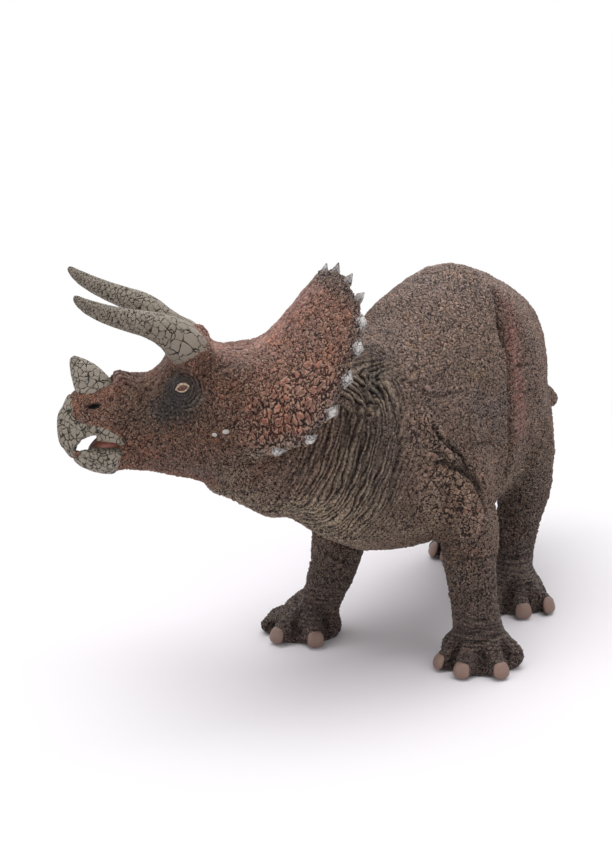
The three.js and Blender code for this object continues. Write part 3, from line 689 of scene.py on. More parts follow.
# Colour, line, width and strength of each stroke, in the order laid on, on both sides; some strokes are painted shade
trunkPaintAndShade = [
    ("#927974", [(17, -24, 104), (17, 10, 120), (17, 40, 112)], 26, 0.95),
    ("#7c5d4d", [(34, -20, 96), (38, 0, 92)], 12, 0.6),
    ("#7a5e58", [(44, 30, 84), (46, 32, 66)], 9, 0.9),
    ("#4f434c", [(40, -14, 76), (40, -4, 70)], 8, 0.5),
    ("#6a4837", [(38, -36, 66), (42, -32, 52)], 10, 0.7),
    # painted shade along the crease above the upper arm
    ("#56423c", [(36, -36, 70), (39, -31, 66), (41, -29, 62)], 3, 0.7),
    # painted shade on the neck folds behind the frill
    ("#433431", [(22, -44, 92), (24, -50, 80), (25, -54, 68)], 8, 0.75),
    ("#544137", [(24, -56, 60), (30, -50, 50)], 9, 0.6),
    ("#86403b", [(34, 20, 95), (39, 15, 87), (42, 12, 79), (43.5, 11, 70), (43.5, 11, 62)], 4.5, 0.85),
    # painted shade down the deep groove between the flank and the thigh
    ("#2d2321", [(36, 11, 92), (40.5, 7, 80), (43, 4, 68), (43, 4, 56), (41, 6, 47)], 2.2, 0.8),
    ("#776548", [(39, -18, 86), (39, -12, 84)], 3, 0.5),
    # painted shadow between the hind leg and the belly
    ("#2e2521", [(36, 27, 42), (37, 27, 32)], 11, 0.9),
]
headPaint = [
    ("#8f594a", [(24, 14, 14), (20, 6, 26)], 15, 0.9),
    ("#6f311d", [(22, 20, 0), (18, 26, 4)], 10, 0.85),
    ("#6c3c22", [(15, 34, -4), (14, 46, 0)], 9, 0.8),
    ("#623f34", [(18, 28, 4), (17, 34, 3)], 5, 0.6),
    ("#52290d", [(10, 31, 16), (11, 26, 15)], 4.5, 0.9),
    ("#392011", [(9, 56, 3), (11, 49, 5)], 7, 0.8),
    ("#61474d", [(11, 44, -12), (13, 32, -13)], 6, 0.7),
    ("#604441", [(0, 57, 12), (0, 46, 16), (4, 40, 17)], 5, 0.75),
    ("#573d33", [(6, 52, 9), (8, 46, 12)], 3.5, 0.6),
    ("#a2736b", [(0, 34, 24), (0, 26, 19), (0, 18, 20), (0, 10, 30), (0, 3, 38)], 7, 0.9),
    ("#96685f", [(9, 28, 18), (10, 18, 18), (12, 8, 27)], 5, 0.7),
    ("#433840", rimLine, 3.6, 0.85),
    ("#3f3232", [(21, 17, -8), (17, 25, -9)], 6, 0.6),
    ("#191119", [(13, 43.5, 11), (14, 40.5, 9.5), (14, 44.5, 7)], 5.2, 1.6),
    ("#2a2228", [(14, 45, 6), (13, 48, 4)], 4.2, 0.9),
    ("#3c3434", [(7, 67, 3), (6, 68, 0)], 2.4, 0.7),
    ("#6b3d34", [(7, 63, 5), (7, 66, 4)], 1.8, 0.4),
]


# Ground colours. The legs darken in two steps: height where each begins, over what height, and colour
groundPaint = {"trunk": "#67463b", "legs": ((48, 26, "#503933"), (34, 24, "#342024")), "head": "#8a452a"}
strokeReach = 2.2


def stroke(line, width):
    near, distance, _ = reach(points, smoothLine(line), strokeReach * width)
    share = np.zeros(len(points))
    np.maximum.at(share, near, np.exp(-(distance / width) ** 2))
    return share


def strokes(lines):
    total = np.zeros(len(points))
    for line, width, strength in lines:
        total = np.maximum(total, strength * stroke(line, width))
    return total


normals = getNormals(base)
height = points[:, 2]
blend = {"rounds": 12, "weight": 0.8, "legs": (12, 46), "underTilt": (0.15, 0.75), "underHeight": (36, 44),
         "jawFrom": 32, "jawShare": 0.2}
headShare = smoothed(base, isHead[:, None].astype(float), blend["rounds"], blend["weight"])[:, 0]
alongHead = (points - headAt) @ headAhead
legShare = 1 - step(height, *blend["legs"])
under = (step(-normals[:, 2], *blend["underTilt"]) * step(height, *blend["underHeight"])
         * np.where(alongHead > blend["jawFrom"], blend["jawShare"], 1))


def tint(paint, share, code):
    share = np.clip(share, 0, 1)[:, None]
    return paint * (1 - share) + np.array(hexColor(code)[:3]) * share


trunkShare = 1 - headShare
paint = np.tile(hexColor(groundPaint["trunk"])[:3], (len(points), 1))
for code, line, width, strength in trunkPaintAndShade:
    for way in (line, mirrored(line)):
        paint = tint(paint, strength * stroke(way, width) * trunkShare, code)
for begin, over, code in groundPaint["legs"]:
    paint = tint(paint, step(begin - height, 0, over), code)
paint = tint(paint, headShare, groundPaint["head"])
for code, line, width, strength in headPaint:
    for side in (1, -1):
        paint = tint(paint, strength * stroke(headLine(line, side), width) * headShare, code)

# Wrinkles: where each kind lies, how strong it is, and the coordinate that counts across its wrinkles
wrinkles = {"rim": 1.2, "neck": 0.9, "ankle": 0.35, "thigh": 0.4, "crest": 0.7, "eye": 0.35, "rimReach": 60.0,
            "neckWay": (0.55, 0.75, -0.38), "ankleFrom": (4, 8), "ankleTo": (13, 19), "ankleSlope": 0.15,
            "thighLine": [(39, 15, 87), (42, 12, 79), (43.5, 11, 70), (43.5, 11, 62)], "thighWidth": 4.5,
            "crestLine": [(0, 57, 12), (0, 46, 16), (0, 34, 24), (0, 26, 19), (0, 18, 20), (0, 10, 30)],
            "crestWidth": 7, "crestSlope": 0.7, "snoutLine": [(6, 53, 9), (8, 46, 12)], "snoutWidth": 4,
            "snout": 0.5, "eyeAt": (14, 41.6, 11), "eyeReach": (-7.5, -5), "eyeCount": 1.3, "stretch": 0.22,
            "apart": 31}


def ball(middle, radius, flatten=(1, 1, 1)):
    return np.exp(-((((points - middle) * flatten) ** 2).sum(1) / radius ** 2))


rimDistance = np.full(len(points), wrinkles["rimReach"])
for side in (1, -1):
    near, distance, _ = reach(points, smoothLine(headLine(rimLine, side)), wrinkles["rimReach"])
    np.minimum.at(rimDistance, near, distance)
ankles = step(height, *wrinkles["ankleFrom"]) * (1 - step(height, *wrinkles["ankleTo"]))
thighBand = strokes([(line, wrinkles["thighWidth"], 1) for line in (wrinkles["thighLine"],
                                                                    mirrored(wrinkles["thighLine"]))])
crest = strokes([(headLine(wrinkles["crestLine"]), wrinkles["crestWidth"], 1)]
                + [(headLine(wrinkles["snoutLine"], side), wrinkles["snoutWidth"], wrinkles["snout"])
                   for side in (1, -1)])
regions = [
    (wrinkles["rim"] * ball((20, -48, 86), 10) * trunkShare, rimDistance),
    (wrinkles["neck"] * ball((17, -57, 64), 15, (0.8, 1, 0.6)) * trunkShare, points @ np.array(wrinkles["neckWay"])),
    (wrinkles["ankle"] * ankles, height + wrinkles["ankleSlope"] * points[:, 1]),
    (wrinkles["thigh"] * thighBand, height),
    (wrinkles["crest"] * crest, (points - headAt) @ headOut + wrinkles["crestSlope"] * (height - headAt[2])),
]
for side in (1, -1):
    away = np.linalg.norm(points - sideSpot(side, wrinkles["eyeAt"]), axis=1)
    regions.append((wrinkles["eye"] * step(-away, *wrinkles["eyeReach"]), away * wrinkles["eyeCount"]))
strength = np.stack([r[0] for r in regions])
chosen = strength.argmax(0)
wrinkled = np.clip(strength.max(0), 0, 1)
across = np.stack([r[1] for r in regions])[chosen, np.arange(len(points))]
store(base, "wrinkleAt", np.column_stack([
    across, wrinkles["stretch"] * (points @ [0.3, 0.3, 0.9]) + wrinkles["apart"] * chosen,
    wrinkles["stretch"] * (points @ [0.8, -0.6, 0])]))

# Where the pebbles are large: line and width, on both sides
coarseTrunk = [([(33, -41, 74), (35, -38, 66)], 8), ([(38, -37, 58), (42, -32, 46)], 9)]
coarseHead = [([(25, 9, 13), (22, 20, 2)], 9)]
coarse = strokes([(way, width, 1.0) for line, width in coarseTrunk for way in (line, mirrored(line))]
                 + [(headLine(line, side), width, 1.0) for line, width in coarseHead for side in (1, -1)])

# The grain's coordinates: stretched upward on the frill, and finer towards the snout
grainPlace = {"frillFade": (-34, -12), "frillStretch": 0.35, "snoutFade": (20, 50), "snoutFiner": 0.22}
frillShare = headShare * step(-alongHead, *grainPlace["frillFade"])
skinAt = points - headAt
skinAt[:, 2] *= 1 - grainPlace["frillStretch"] * frillShare
skinAt *= (1 + grainPlace["snoutFiner"] * headShare * step(alongHead, *grainPlace["snoutFade"]))[:, None]
store(base, "skinAt", skinAt)

# Shading laid over the paint: the underside, the neck's folds and the lower neck
shading = {"belly": [(-14, -72.6, 60), (-2, -64.6, 52.4), (9, -56, 45), (17, -35, 41), (17, 0, 36)],
           "bellyWidth": 9, "bellyShare": 0.8, "under": 0.66, "folds": 0.5, "neck": [0.3, 0.38, 0.4]}
neckFolds = np.maximum(ball((20, -48, 85), 12), ball((18, -56, 66), 15, (0.8, 1, 0.7))) * trunkShare
neckShade = ball((17, -57, 60), 22) * trunkShare
under = np.maximum(under, shading["bellyShare"] * (stroke(shading["belly"], shading["bellyWidth"]) * trunkShare))
paint = (paint * ((1 - shading["under"] * under) * (1 - shading["folds"] * neckFolds))[:, None]
         * (1 - neckShade[:, None] * shading["neck"]))
store(base, "paint", paint)

# Height of the grain. The soles, the toes behind the nails, the lids and the skin next to the beak stay smooth
reliefLook = {"plain": 0.66, "head": 0.04, "neckFolds": 0.15, "under": 0.25, "coarse": 0.2, "soleWidth": 1.2,
              "snoutFade": (56, 62), "snoutLess": 0.75, "lidFade": (1.8, 4.0)}
smoothSpots = np.exp(-(np.minimum(height, 50) / reliefLook["soleWidth"]) ** 2)
for _, centre, side, withNail, _ in feet:
    for turn in withNail:
        tip = toeLine(centre, side, turn, [toes["tip"]])[0]
        nearTip = np.exp(-((points - tip) ** 2).sum(1) / toes["tipWidth"] ** 2)
        smoothSpots = np.maximum(smoothSpots, toes["tipSmooth"] * nearTip)
relief = (reliefLook["plain"] + reliefLook["head"] * headShare + reliefLook["neckFolds"] * neckFolds
          + reliefLook["under"] * under + reliefLook["coarse"] * coarse)
relief = relief * (1 - smoothSpots) * (1 - reliefLook["snoutLess"] * step(alongHead, *reliefLook["snoutFade"]))
for side in (1, -1):
    relief *= step(almondPlace(points, side)[2], *reliefLook["lidFade"])
store(base, "skinForm", np.column_stack([relief, wrinkled, coarse]))

# Where the pale dry paint, the rims of worn paint and painted highlight, and the painted shade in the grooves show
dryLook = {"under": 0.8, "wrinkled": 0.15, "rim": 0.65, "rimFolds": 0.15, "rimUnder": 0.3, "rimLegs": 0.35,
           "rimEye": 0.8, "eyeLine": [(13, 43.5, 11), (14, 44.5, 7)], "eyeWidth": 6.5}
eyePatch = strokes([(headLine(dryLook["eyeLine"], side), dryLook["eyeWidth"], 1) for side in (1, -1)])
rimWearAndSheen = dryLook["rim"] - dryLook["rimFolds"] * neckFolds + dryLook["rimUnder"] * under
store(base, "drySkin", np.clip(dryLook["under"] * under + dryLook["wrinkled"] * wrinkled * trunkShare, 0, 1))
store(base, "rimWearAndSheen", rimWearAndSheen * (1 - dryLook["rimEye"] * eyePatch) * (1 - dryLook["rimLegs"] * legShare))
store(base, "grooveShade", grooveShadeAmount)
print("paints placed")


# The skin's grain, alike for shape and paint: its height, rims of worn paint and painted highlight, a tone for each
# pebble.
# Scales are in cells per millimetre, and the creases' widths in millimetres
grainLook = {"wander": 2.2, "wanderScale": 0.6, "twist": 1.6, "twistScale": 1.3, "small": 0.8, "large": 0.52,
             "largeFade": (0.4, 0.6), "breakScale": 0.7, "breakFade": (0.38, 0.62), "crease": (0.07, 0.12),
             "dome": 0.45, "rimFrom": 0.05, "rimTo": (0.07, 0.2), "bend": 3.2, "bendScale": 0.3, "waves": 0.72,
             "waveWidth": (0.3, 0.6), "waveRim": (0.8, 1.0), "lineScales": ((0.2, 2.0, 0.6), (0.5, 1.0)),
             "lineWidths": (0.025, 0.03), "lineDepth": 0.5, "fine": (2.4, 2.0, 0.6), "fineShare": 0.16,
             "foldedLow": 0.45}


def grainLines(tree, at, scale, width):
    # thin winding lines, where a noise passes its middle
    wave = calc(tree, "SUBTRACT", noise(tree, at, *scale).outputs[0], 0.5)
    return blendNumber(tree, fade(tree, calc(tree, "ABSOLUTE", wave), 0.0, width), grainLook["lineDepth"], 1.0)


def skinGrain(tree, at, wrinkleAt, wrinkled, coarse):
    look = grainLook
    wander = centred(tree, at, look["wanderScale"], 2.0, 0.6)
    twist = centred(tree, at, look["twistScale"], 1.0)
    wander = vectorCalc(tree, "ADD", scaled(tree, wander, look["wander"]), scaled(tree, twist, look["twist"]))
    at = vectorCalc(tree, "ADD", at, wander)
    small, large = (cells(tree, at, look[size], "DISTANCE_TO_EDGE").outputs["Distance"]
                    for size in ("small", "large"))
    edge = blendNumber(tree, fade(tree, coarse, *look["largeFade"]), small, large)
    breaks = fade(tree, noise(tree, at, look["breakScale"], 1.0).outputs[0], *look["breakFade"])
    width = blendNumber(tree, breaks, *look["crease"])
    crease = fade(tree, edge, 0.0, width)
    dome = fade(tree, edge, 0.0, look["dome"])
    rimFrom, rimTop, rimEnd = (calc(tree, "ADD", width, more) for more in (look["rimFrom"], *look["rimTo"]))
    rim = multiply(tree, fade(tree, edge, width, rimFrom), fade(tree, edge, rimTop, rimEnd, 1.0, 0.0))
    bend = multiply(tree, noise(tree, wrinkleAt, look["bendScale"], 2.0, 0.5).outputs[0], look["bend"])
    phase = calc(tree, "ADD", multiply(tree, splitVector(tree, wrinkleAt)[0], look["waves"]), bend)
    wave = calc(tree, "ABSOLUTE", calc(tree, "SINE", multiply(tree, phase, math.pi)))
    line = fade(tree, wave, 0.0, blendNumber(tree, breaks, *look["waveWidth"]))
    thin = [grainLines(tree, at, scale, width) for scale, width in zip(look["lineScales"], look["lineWidths"])]
    plain = calc(tree, "ADD", multiply(tree, crease, 0.5), multiply(tree, dome, 0.5))
    plain = multiply(tree, plain, multiply(tree, *thin))
    folded = multiply(tree, line, blendNumber(tree, look["foldedLow"], 1.0, crease))
    mixed = blendNumber(tree, wrinkled, plain, folded)
    fine = calc(tree, "SUBTRACT", noise(tree, at, *look["fine"]).outputs[0], 0.5)
    grain = calc(tree, "ADD", mixed, multiply(tree, fine, look["fineShare"]), clamp=True)
    wornAndSheen = blendNumber(tree, wrinkled, rim, fade(tree, wave, *look["waveRim"]))
    tone = splitVector(tree, cells(tree, at, look["small"], "F1").outputs["Color"])[0]
    return grain, wornAndSheen, tone


def reliefModifier(ob, build, name):
    tree = bpy.data.node_groups.new(name, "GeometryNodeTree")
    tree.interface.new_socket("Geometry", in_out="INPUT", socket_type="NodeSocketGeometry")
    tree.interface.new_socket("Geometry", in_out="OUTPUT", socket_type="NodeSocketGeometry")
    start, end = tree.nodes.new("NodeGroupInput"), tree.nodes.new("NodeGroupOutput")

    def read(attribute, kind="FLOAT_VECTOR"):
        return put(tree, "GeometryNodeInputNamedAttribute", {"Name": attribute}, data_type=kind).outputs[0]

    lift, kept = build(tree, read)
    normal = tree.nodes.new("GeometryNodeInputNormal").outputs[0]
    move = put(tree, "GeometryNodeSetPosition", {"Geometry": start.outputs[0],
                                                 "Offset": scaled(tree, normal, calc(tree, "MULTIPLY", lift, mm))})
    last = put(tree, "GeometryNodeStoreNamedAttribute", {"Geometry": move.outputs[0], "Name": "grain", "Value": kept},
               data_type="FLOAT", domain="POINT")
    tree.links.new(last.outputs[0], end.inputs[0])
    applyModifier(ob, "NODES", node_group=tree)


swellLook = {"scale": 0.13, "height": 2.4, "grainLevel": 0.6}


def skinLift(tree, read):
    # the grain, over a slow swell that makes the skin uneven
    relief, wrinkled, coarse = splitVector(tree, read("skinForm"))
    at = read("skinAt")
    grain = skinGrain(tree, at, read("wrinkleAt"), wrinkled, coarse)[0]
    swell = calc(tree, "SUBTRACT", noise(tree, at, swellLook["scale"], 2.0).outputs[0], 0.5)
    lift = calc(tree, "ADD", calc(tree, "SUBTRACT", grain, swellLook["grainLevel"]),
                multiply(tree, swell, swellLook["height"]))
    return multiply(tree, relief, lift), grain


reliefModifier(base, skinLift, "skinRelief")
points = getPoints(base)
points[:, 2] = np.maximum(points[:, 2], 0)
setPoints(base, points)
print("skin relief made")

# The skin is parted where the mouldings meet, and each part closed
labelRounds, labelWeight = 10, 0.8


def evenLabels(ob, label, count):
    # each point goes to the moulding that is most common round it, so that the parting lines are even
    return np.column_stack([smoothed(ob, (label == k)[:, None].astype(float), labelRounds, labelWeight)[:, 0]
                            for k in range(count)]).argmax(1)


def faceCorners(mesh):
    corners = np.empty(len(mesh.loops), np.int32)
    mesh.loops.foreach_get("vertex_index", corners)
    starts = np.empty(len(mesh.polygons), np.int32)
    mesh.polygons.foreach_get("loop_start", starts)
    return corners, starts


def closeSkin(ob):
    makeActive(ob)
    bpy.ops.object.mode_set(mode="EDIT")
    bpy.ops.mesh.select_mode(type="VERT")
    bpy.ops.mesh.select_all(action="SELECT")
    bpy.ops.mesh.fill_holes(sides=0)
    bpy.ops.mesh.select_mode(type="EDGE")
    bpy.ops.mesh.select_all(action="DESELECT")
    bpy.ops.mesh.select_non_manifold(extend=False, use_wire=False, use_boundary=True, use_multi_face=False,
                                     use_non_contiguous=False, use_verts=False)
    ob.update_from_editmode()
    if ob.data.total_edge_sel:  # a rim that touches itself is still open
        bpy.ops.mesh.fill()
        bpy.ops.mesh.select_all(action="SELECT")
        bpy.ops.mesh.normals_make_consistent(inside=False)
    bpy.ops.mesh.select_mode(type="VERT")
    bpy.ops.mesh.select_all(action="SELECT")
    bpy.ops.mesh.quads_convert_to_tris()
    bpy.ops.object.mode_set(mode="OBJECT")
    shadeSmooth(ob)
    mesh = ob.data
    values = np.empty(len(mesh.vertices) * 3, np.float32)
    mesh.attributes["wholeNormal"].data.foreach_get("vector", values)
    mesh.normals_split_custom_set_from_vertices(values.reshape(-1, 3))
    mesh.attributes.remove(mesh.attributes["wholeNormal"])


store(base, "wholeNormal", getNormals(base))
label = evenLabels(base, label, len(skinNodes))
label = np.where((label == 0) & (points[:, 1] > skin["parting"]), len(skinNodes), label)
pieceNames = {"torso": "foreBodySkin", "tail": "tailSkin", "fore_leg_left": "leftForeLegSkin",
              "fore_leg_right": "rightForeLegSkin", "hind_leg_left": "leftHindLegSkin",
              "hind_leg_right": "rightHindLegSkin", "head": "headSkin"}
partNames = [pieceNames.get(node, "headSkin") for node in skinNodes] + ["hindBodySkin"]
base.data.materials.clear()
for name in partNames:
    base.data.materials.append(bpy.data.materials.get(name) or bpy.data.materials.new(name))
corners, starts = faceCorners(base.data)
base.data.polygons.foreach_set("material_index", label[corners[starts]].astype(np.int32))
makeActive(base)
bpy.ops.object.mode_set(mode="EDIT")
bpy.ops.mesh.select_all(action="SELECT")
bpy.ops.mesh.separate(type="MATERIAL")
bpy.ops.object.mode_set(mode="OBJECT")
skinPieces = []
for piece in list(bpy.context.selected_objects):
    part = piece.data.materials[piece.data.polygons[0].material_index].name
    piece.name = part
    stands = [node for node, name in pieceNames.items() if name == part] or ["torso"]
    skinPieces.append((piece, stands[0]))
for piece, stands in skinPieces:
    closeSkin(piece)
print("skin parted", [(p.name, len(p.data.polygons)) for p, _ in skinPieces])


# Paints and finishes
def newMaterial(name, roughness):
    material = bpy.data.materials.new(name)
    material.use_nodes = True
    tree = material.node_tree
    shader = tree.nodes["Principled BSDF"]
    shader.inputs["Roughness"].default_value = roughness
    return material, tree, shader


def newGroup(name, inputs, outputs):
    tree = bpy.data.node_groups.new(name, "ShaderNodeTree")
    for direction, sockets in (("INPUT", inputs), ("OUTPUT", outputs)):
        for label, kind in sockets:
            tree.interface.new_socket(label, in_out=direction, socket_type="NodeSocket" + kind)
    return tree, tree.nodes.new("NodeGroupInput").outputs, tree.nodes.new("NodeGroupOutput").inputs


def useGroup(tree, group, inputs):
    return put(tree, "ShaderNodeGroup", inputs, node_tree=group).outputs


def readVector(tree, name):
    return put(tree, "ShaderNodeAttribute", attribute_name=name).outputs["Vector"]


def readNumber(tree, name):
    return put(tree, "ShaderNodeAttribute", attribute_name=name).outputs["Fac"]


grainGroup, given, result = newGroup(
    "leatheryGrain", [("At", "Vector"), ("Wrinkle At", "Vector"), ("Wrinkled", "Float"), ("Coarse", "Float")],
    [("Grain", "Float"), ("Rim", "Float"), ("Tone", "Float")])
made = skinGrain(grainGroup, given["At"], given["Wrinkle At"], given["Wrinkled"], given["Coarse"])
for value, target in zip(made, result):
    grainGroup.links.new(value, target)

# Dark wash and painted shade in low places, worn paint and painted highlight on high ones, fading over grain height
brushLook = {"wash": (0.05, 0.5, 1.0, 0.0), "wornAndSheen": (0.6, 1.0), "light": (0.2, 1.0, 0.8, 1.15)}
brushGroup, given, result = newGroup(
    "dryBrush", [("Color", "Color"), ("Grain", "Float"), ("Wash", "Color"), ("Worn And Sheen", "Color"),
                 ("Wash Strength", "Float"), ("Worn And Sheen Strength", "Float")], [("Color", "Color")])
low, high, light = (fade(brushGroup, given["Grain"], *brushLook[key]) for key in ("wash", "wornAndSheen", "light"))
color = blendColor(brushGroup, multiply(brushGroup, low, given["Wash Strength"]), given["Color"], given["Wash"])
color = scaled(brushGroup, color, light)
color = blendColor(brushGroup, multiply(brushGroup, high, given["Worn And Sheen Strength"]), color, given["Worn And Sheen"])
brushGroup.links.new(color, result["Color"])

# Clouds and specks of a hand-mixed paint: scale, detail and roughness of each
mottleLook = {"Cloud": (0.09, 3.0, 0.6), "Speck": (1.3, 3.0, 0.7)}
mottleGroup, given, result = newGroup(
    "paintMottle", [("At", "Vector"), ("Scale", "Float")], [(name, "Float") for name in mottleLook])
cloudAt = scaled(mottleGroup, given["At"], given["Scale"])
for name, sizes in mottleLook.items():
    mottleGroup.links.new(noise(mottleGroup, cloudAt, *sizes).outputs[0], result[name])


def mottleOf(tree, at, scale):
    return useGroup(tree, mottleGroup, {"At": at, "Scale": scale})


def addBump(tree, shader, height, distance, strength=1.0):
    bump = put(tree, "ShaderNodeBump", {"Height": height, "Distance": distance * mm, "Strength": strength})
    tree.links.new(bump.outputs[0], shader.inputs["Normal"])


# The skin's paints. Ochre and slate multiply what lies under them, in patches; the shares say how much of each is laid
skinLook = {"roughness": 0.6, "ochre": (1.35, 1.1, 0.72, 1), "slate": (0.62, 0.7, 0.85, 1),
            "cream": hexColor("#a89877"), "wash": hexColor("#150c08"), "wornAndSheen": hexColor("#b39c86"),
            "grooveShadeColor": hexColor("#120a07"),
            "tones": (0.8, 1.2), "patchScale": 2.6, "ochreFade": (0.52, 0.62), "ochreTone": (0.3, 0.45),
            "ochreShare": 0.6, "slateFade": (0.46, 0.62), "slateShare": 0.45, "creamFade": (0.72, 0.92),
            "creamShare": 0.85, "washShare": 0.95, "wornAndSheenShare": 0.06, "grooveShadeShare": 0.85, "dull": (0.8, 0.45),
            "speck": 0.35, "bump": 0.6}


def skinMaterial():
    look = skinLook
    material, tree, shader = newMaterial("paintedSkin", look["roughness"])
    at = readVector(tree, "skinAt")
    _, wrinkled, coarse = splitVector(tree, readVector(tree, "skinForm"))
    scales = useGroup(tree, grainGroup, {"At": at, "Wrinkle At": readVector(tree, "wrinkleAt"), "Wrinkled": wrinkled,
                                         "Coarse": coarse})
    grain, tone = scales["Grain"], scales["Tone"]
    mottle, patches = mottleOf(tree, at, 1.0), mottleOf(tree, at, look["patchScale"])
    color = scaled(tree, readVector(tree, "paint"), fade(tree, tone, 0.0, 1.0, *look["tones"]))
    warm = multiply(tree, fade(tree, patches["Cloud"], *look["ochreFade"]), fade(tree, tone, *look["ochreTone"]))
    color = blendColor(tree, multiply(tree, warm, look["ochreShare"]), color, look["ochre"], "MULTIPLY")
    cold = fade(tree, mottle["Cloud"], *look["slateFade"])
    color = blendColor(tree, multiply(tree, cold, look["slateShare"]), color, look["slate"], "MULTIPLY")
    dry = multiply(tree, readNumber(tree, "drySkin"), fade(tree, grain, *look["creamFade"]))
    color = blendColor(tree, multiply(tree, dry, look["creamShare"]), color, look["cream"])
    color = useGroup(tree, brushGroup, {"Color": color, "Grain": grain, "Wash": look["wash"], "Worn And Sheen": look["wornAndSheen"],
                                        "Wash Strength": look["washShare"],
                                        "Worn And Sheen Strength": look["wornAndSheenShare"]})["Color"]
    # the rims of the pebbles: worn paint and a painted highlight
    color = blendColor(tree, multiply(tree, scales["Rim"], readNumber(tree, "rimWearAndSheen")), color, look["wornAndSheen"])
    # painted shade in the carved grooves, clefts and nostrils
    color = blendColor(tree, multiply(tree, readNumber(tree, "grooveShade"), look["grooveShadeShare"]), color, look["grooveShadeColor"])
    tree.links.new(color, shader.inputs["Base Color"])
    tree.links.new(blendNumber(tree, grain, *look["dull"]), shader.inputs["Roughness"])
    addBump(tree, shader, calc(tree, "ADD", grain, multiply(tree, mottle["Speck"], look["speck"])), look["bump"])
    return material


def finishPiece(ob, material, slot, *stands):
    ob.data.materials.clear()
    ob.data.materials.append(material)
    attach(ob, "root")
    if stands:
        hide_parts(*stands)


painted = skinMaterial()
for piece, stands in skinPieces:
    finishPiece(piece, painted, "head_skin" if stands == "head" else "skin", stands)
print("skin painted")


# Horns and beaks: bone-coloured, split into small plates by dark cracks that break off here and there
plateLook = {"wander": 1.3, "wanderScale": 0.7, "breakScale": 0.8, "breakFade": (0.38, 0.58), "thinnest": 0.35,
             "gone": 0.4}


def plateGrain(tree, at, scale, randomness, width):
    look = plateLook
    wander = centred(tree, at, look["wanderScale"], 2.0)
    warped = vectorCalc(tree, "ADD", at, scaled(tree, wander, look["wander"]))
    edge = cells(tree, warped, scale, "DISTANCE_TO_EDGE", randomness).outputs["Distance"]
    breaks = fade(tree, noise(tree, at, look["breakScale"], 1.0).outputs[0], *look["breakFade"])
    crack = fade(tree, edge, 0.0, multiply(tree, width, blendNumber(tree, breaks, look["thinnest"], 1.0)))
    return calc(tree, "MAXIMUM", crack, blendNumber(tree, breaks, look["gone"], 0.0))


plateGroup, given, result = newGroup(
    "crackedPlates", [("At", "Vector"), ("Scale", "Float"), ("Randomness", "Float"), ("Width", "Float")],
    [("Grain", "Float"), ("Tone", "Float")])
plateGroup.links.new(plateGrain(plateGroup, given["At"], given["Scale"], given["Randomness"], given["Width"]),
                     result["Grain"])
tone = cells(plateGroup, given["At"], given["Scale"], "F1", given["Randomness"]).outputs["Color"]
plateGroup.links.new(splitVector(plateGroup, tone)[0], result["Tone"])
boneLook = {"roughness": 0.55, "mottle": 2.5, "cloudFade": (0.3, 0.7), "tones": 0.35, "wornAndSheen": 0.3,
            "dull": (0.75, 0.42), "speck": 0.5, "bump": 0.3, "level": 0.7}


def boneMaterial(name, look):
    material, tree, shader = newMaterial(name, boneLook["roughness"])
    at = readVector(tree, "plateAt")
    c = {key: hexColor(look[key]) for key in ("color", "second", "pale", "tip", "wash")}
    plates = useGroup(tree, plateGroup, {"At": at, "Scale": look["cell"], "Randomness": look["randomness"],
                                         "Width": look["crack"]})
    mottle = mottleOf(tree, at, boneLook["mottle"])
    color = blendColor(tree, fade(tree, mottle["Cloud"], *boneLook["cloudFade"]), c["color"], c["second"])
    color = blendColor(tree, multiply(tree, plates["Tone"], boneLook["tones"]), color, c["pale"])
    color = blendColor(tree, multiply(tree, readNumber(tree, "tipShare"), look["tipStrength"]), color, c["tip"])
    color = useGroup(tree, brushGroup, {"Color": color, "Grain": plates["Grain"], "Wash": c["wash"],
                                        "Worn And Sheen": c["pale"], "Wash Strength": look["washStrength"],
                                        "Worn And Sheen Strength": boneLook["wornAndSheen"]})["Color"]
    # painted shade in carved seams
    color = blendColor(tree, readNumber(tree, "grooveShade"), color, c["wash"])
    tree.links.new(color, shader.inputs["Base Color"])
    tree.links.new(blendNumber(tree, plates["Grain"], *boneLook["dull"]), shader.inputs["Roughness"])
    speck = multiply(tree, mottle["Speck"], boneLook["speck"])
    addBump(tree, shader, calc(tree, "ADD", plates["Grain"], speck), boneLook["bump"])
    return material


def relieveBone(ob, look, name):
    def lift(tree, read):
        grain = plateGrain(tree, read("plateAt"), look["cell"], look["randomness"], look["crack"])
        return multiply(tree, calc(tree, "SUBTRACT", grain, boneLook["level"]), look["depth"]), grain
    reliefModifier(ob, lift, name)


def smoothCopy(name, node, voxel, rounds):
    ob = joinedCopy(name, [node])
    applyModifier(ob, "REMESH", mode="VOXEL", voxel_size=voxel * mm)
    ob = keepLargestShell(ob)
    roundOff(ob, rounds, 3 * rounds)
    applyModifier(ob, "SUBSURF", levels=1, render_levels=1)
    shadeSmooth(ob)
    return ob


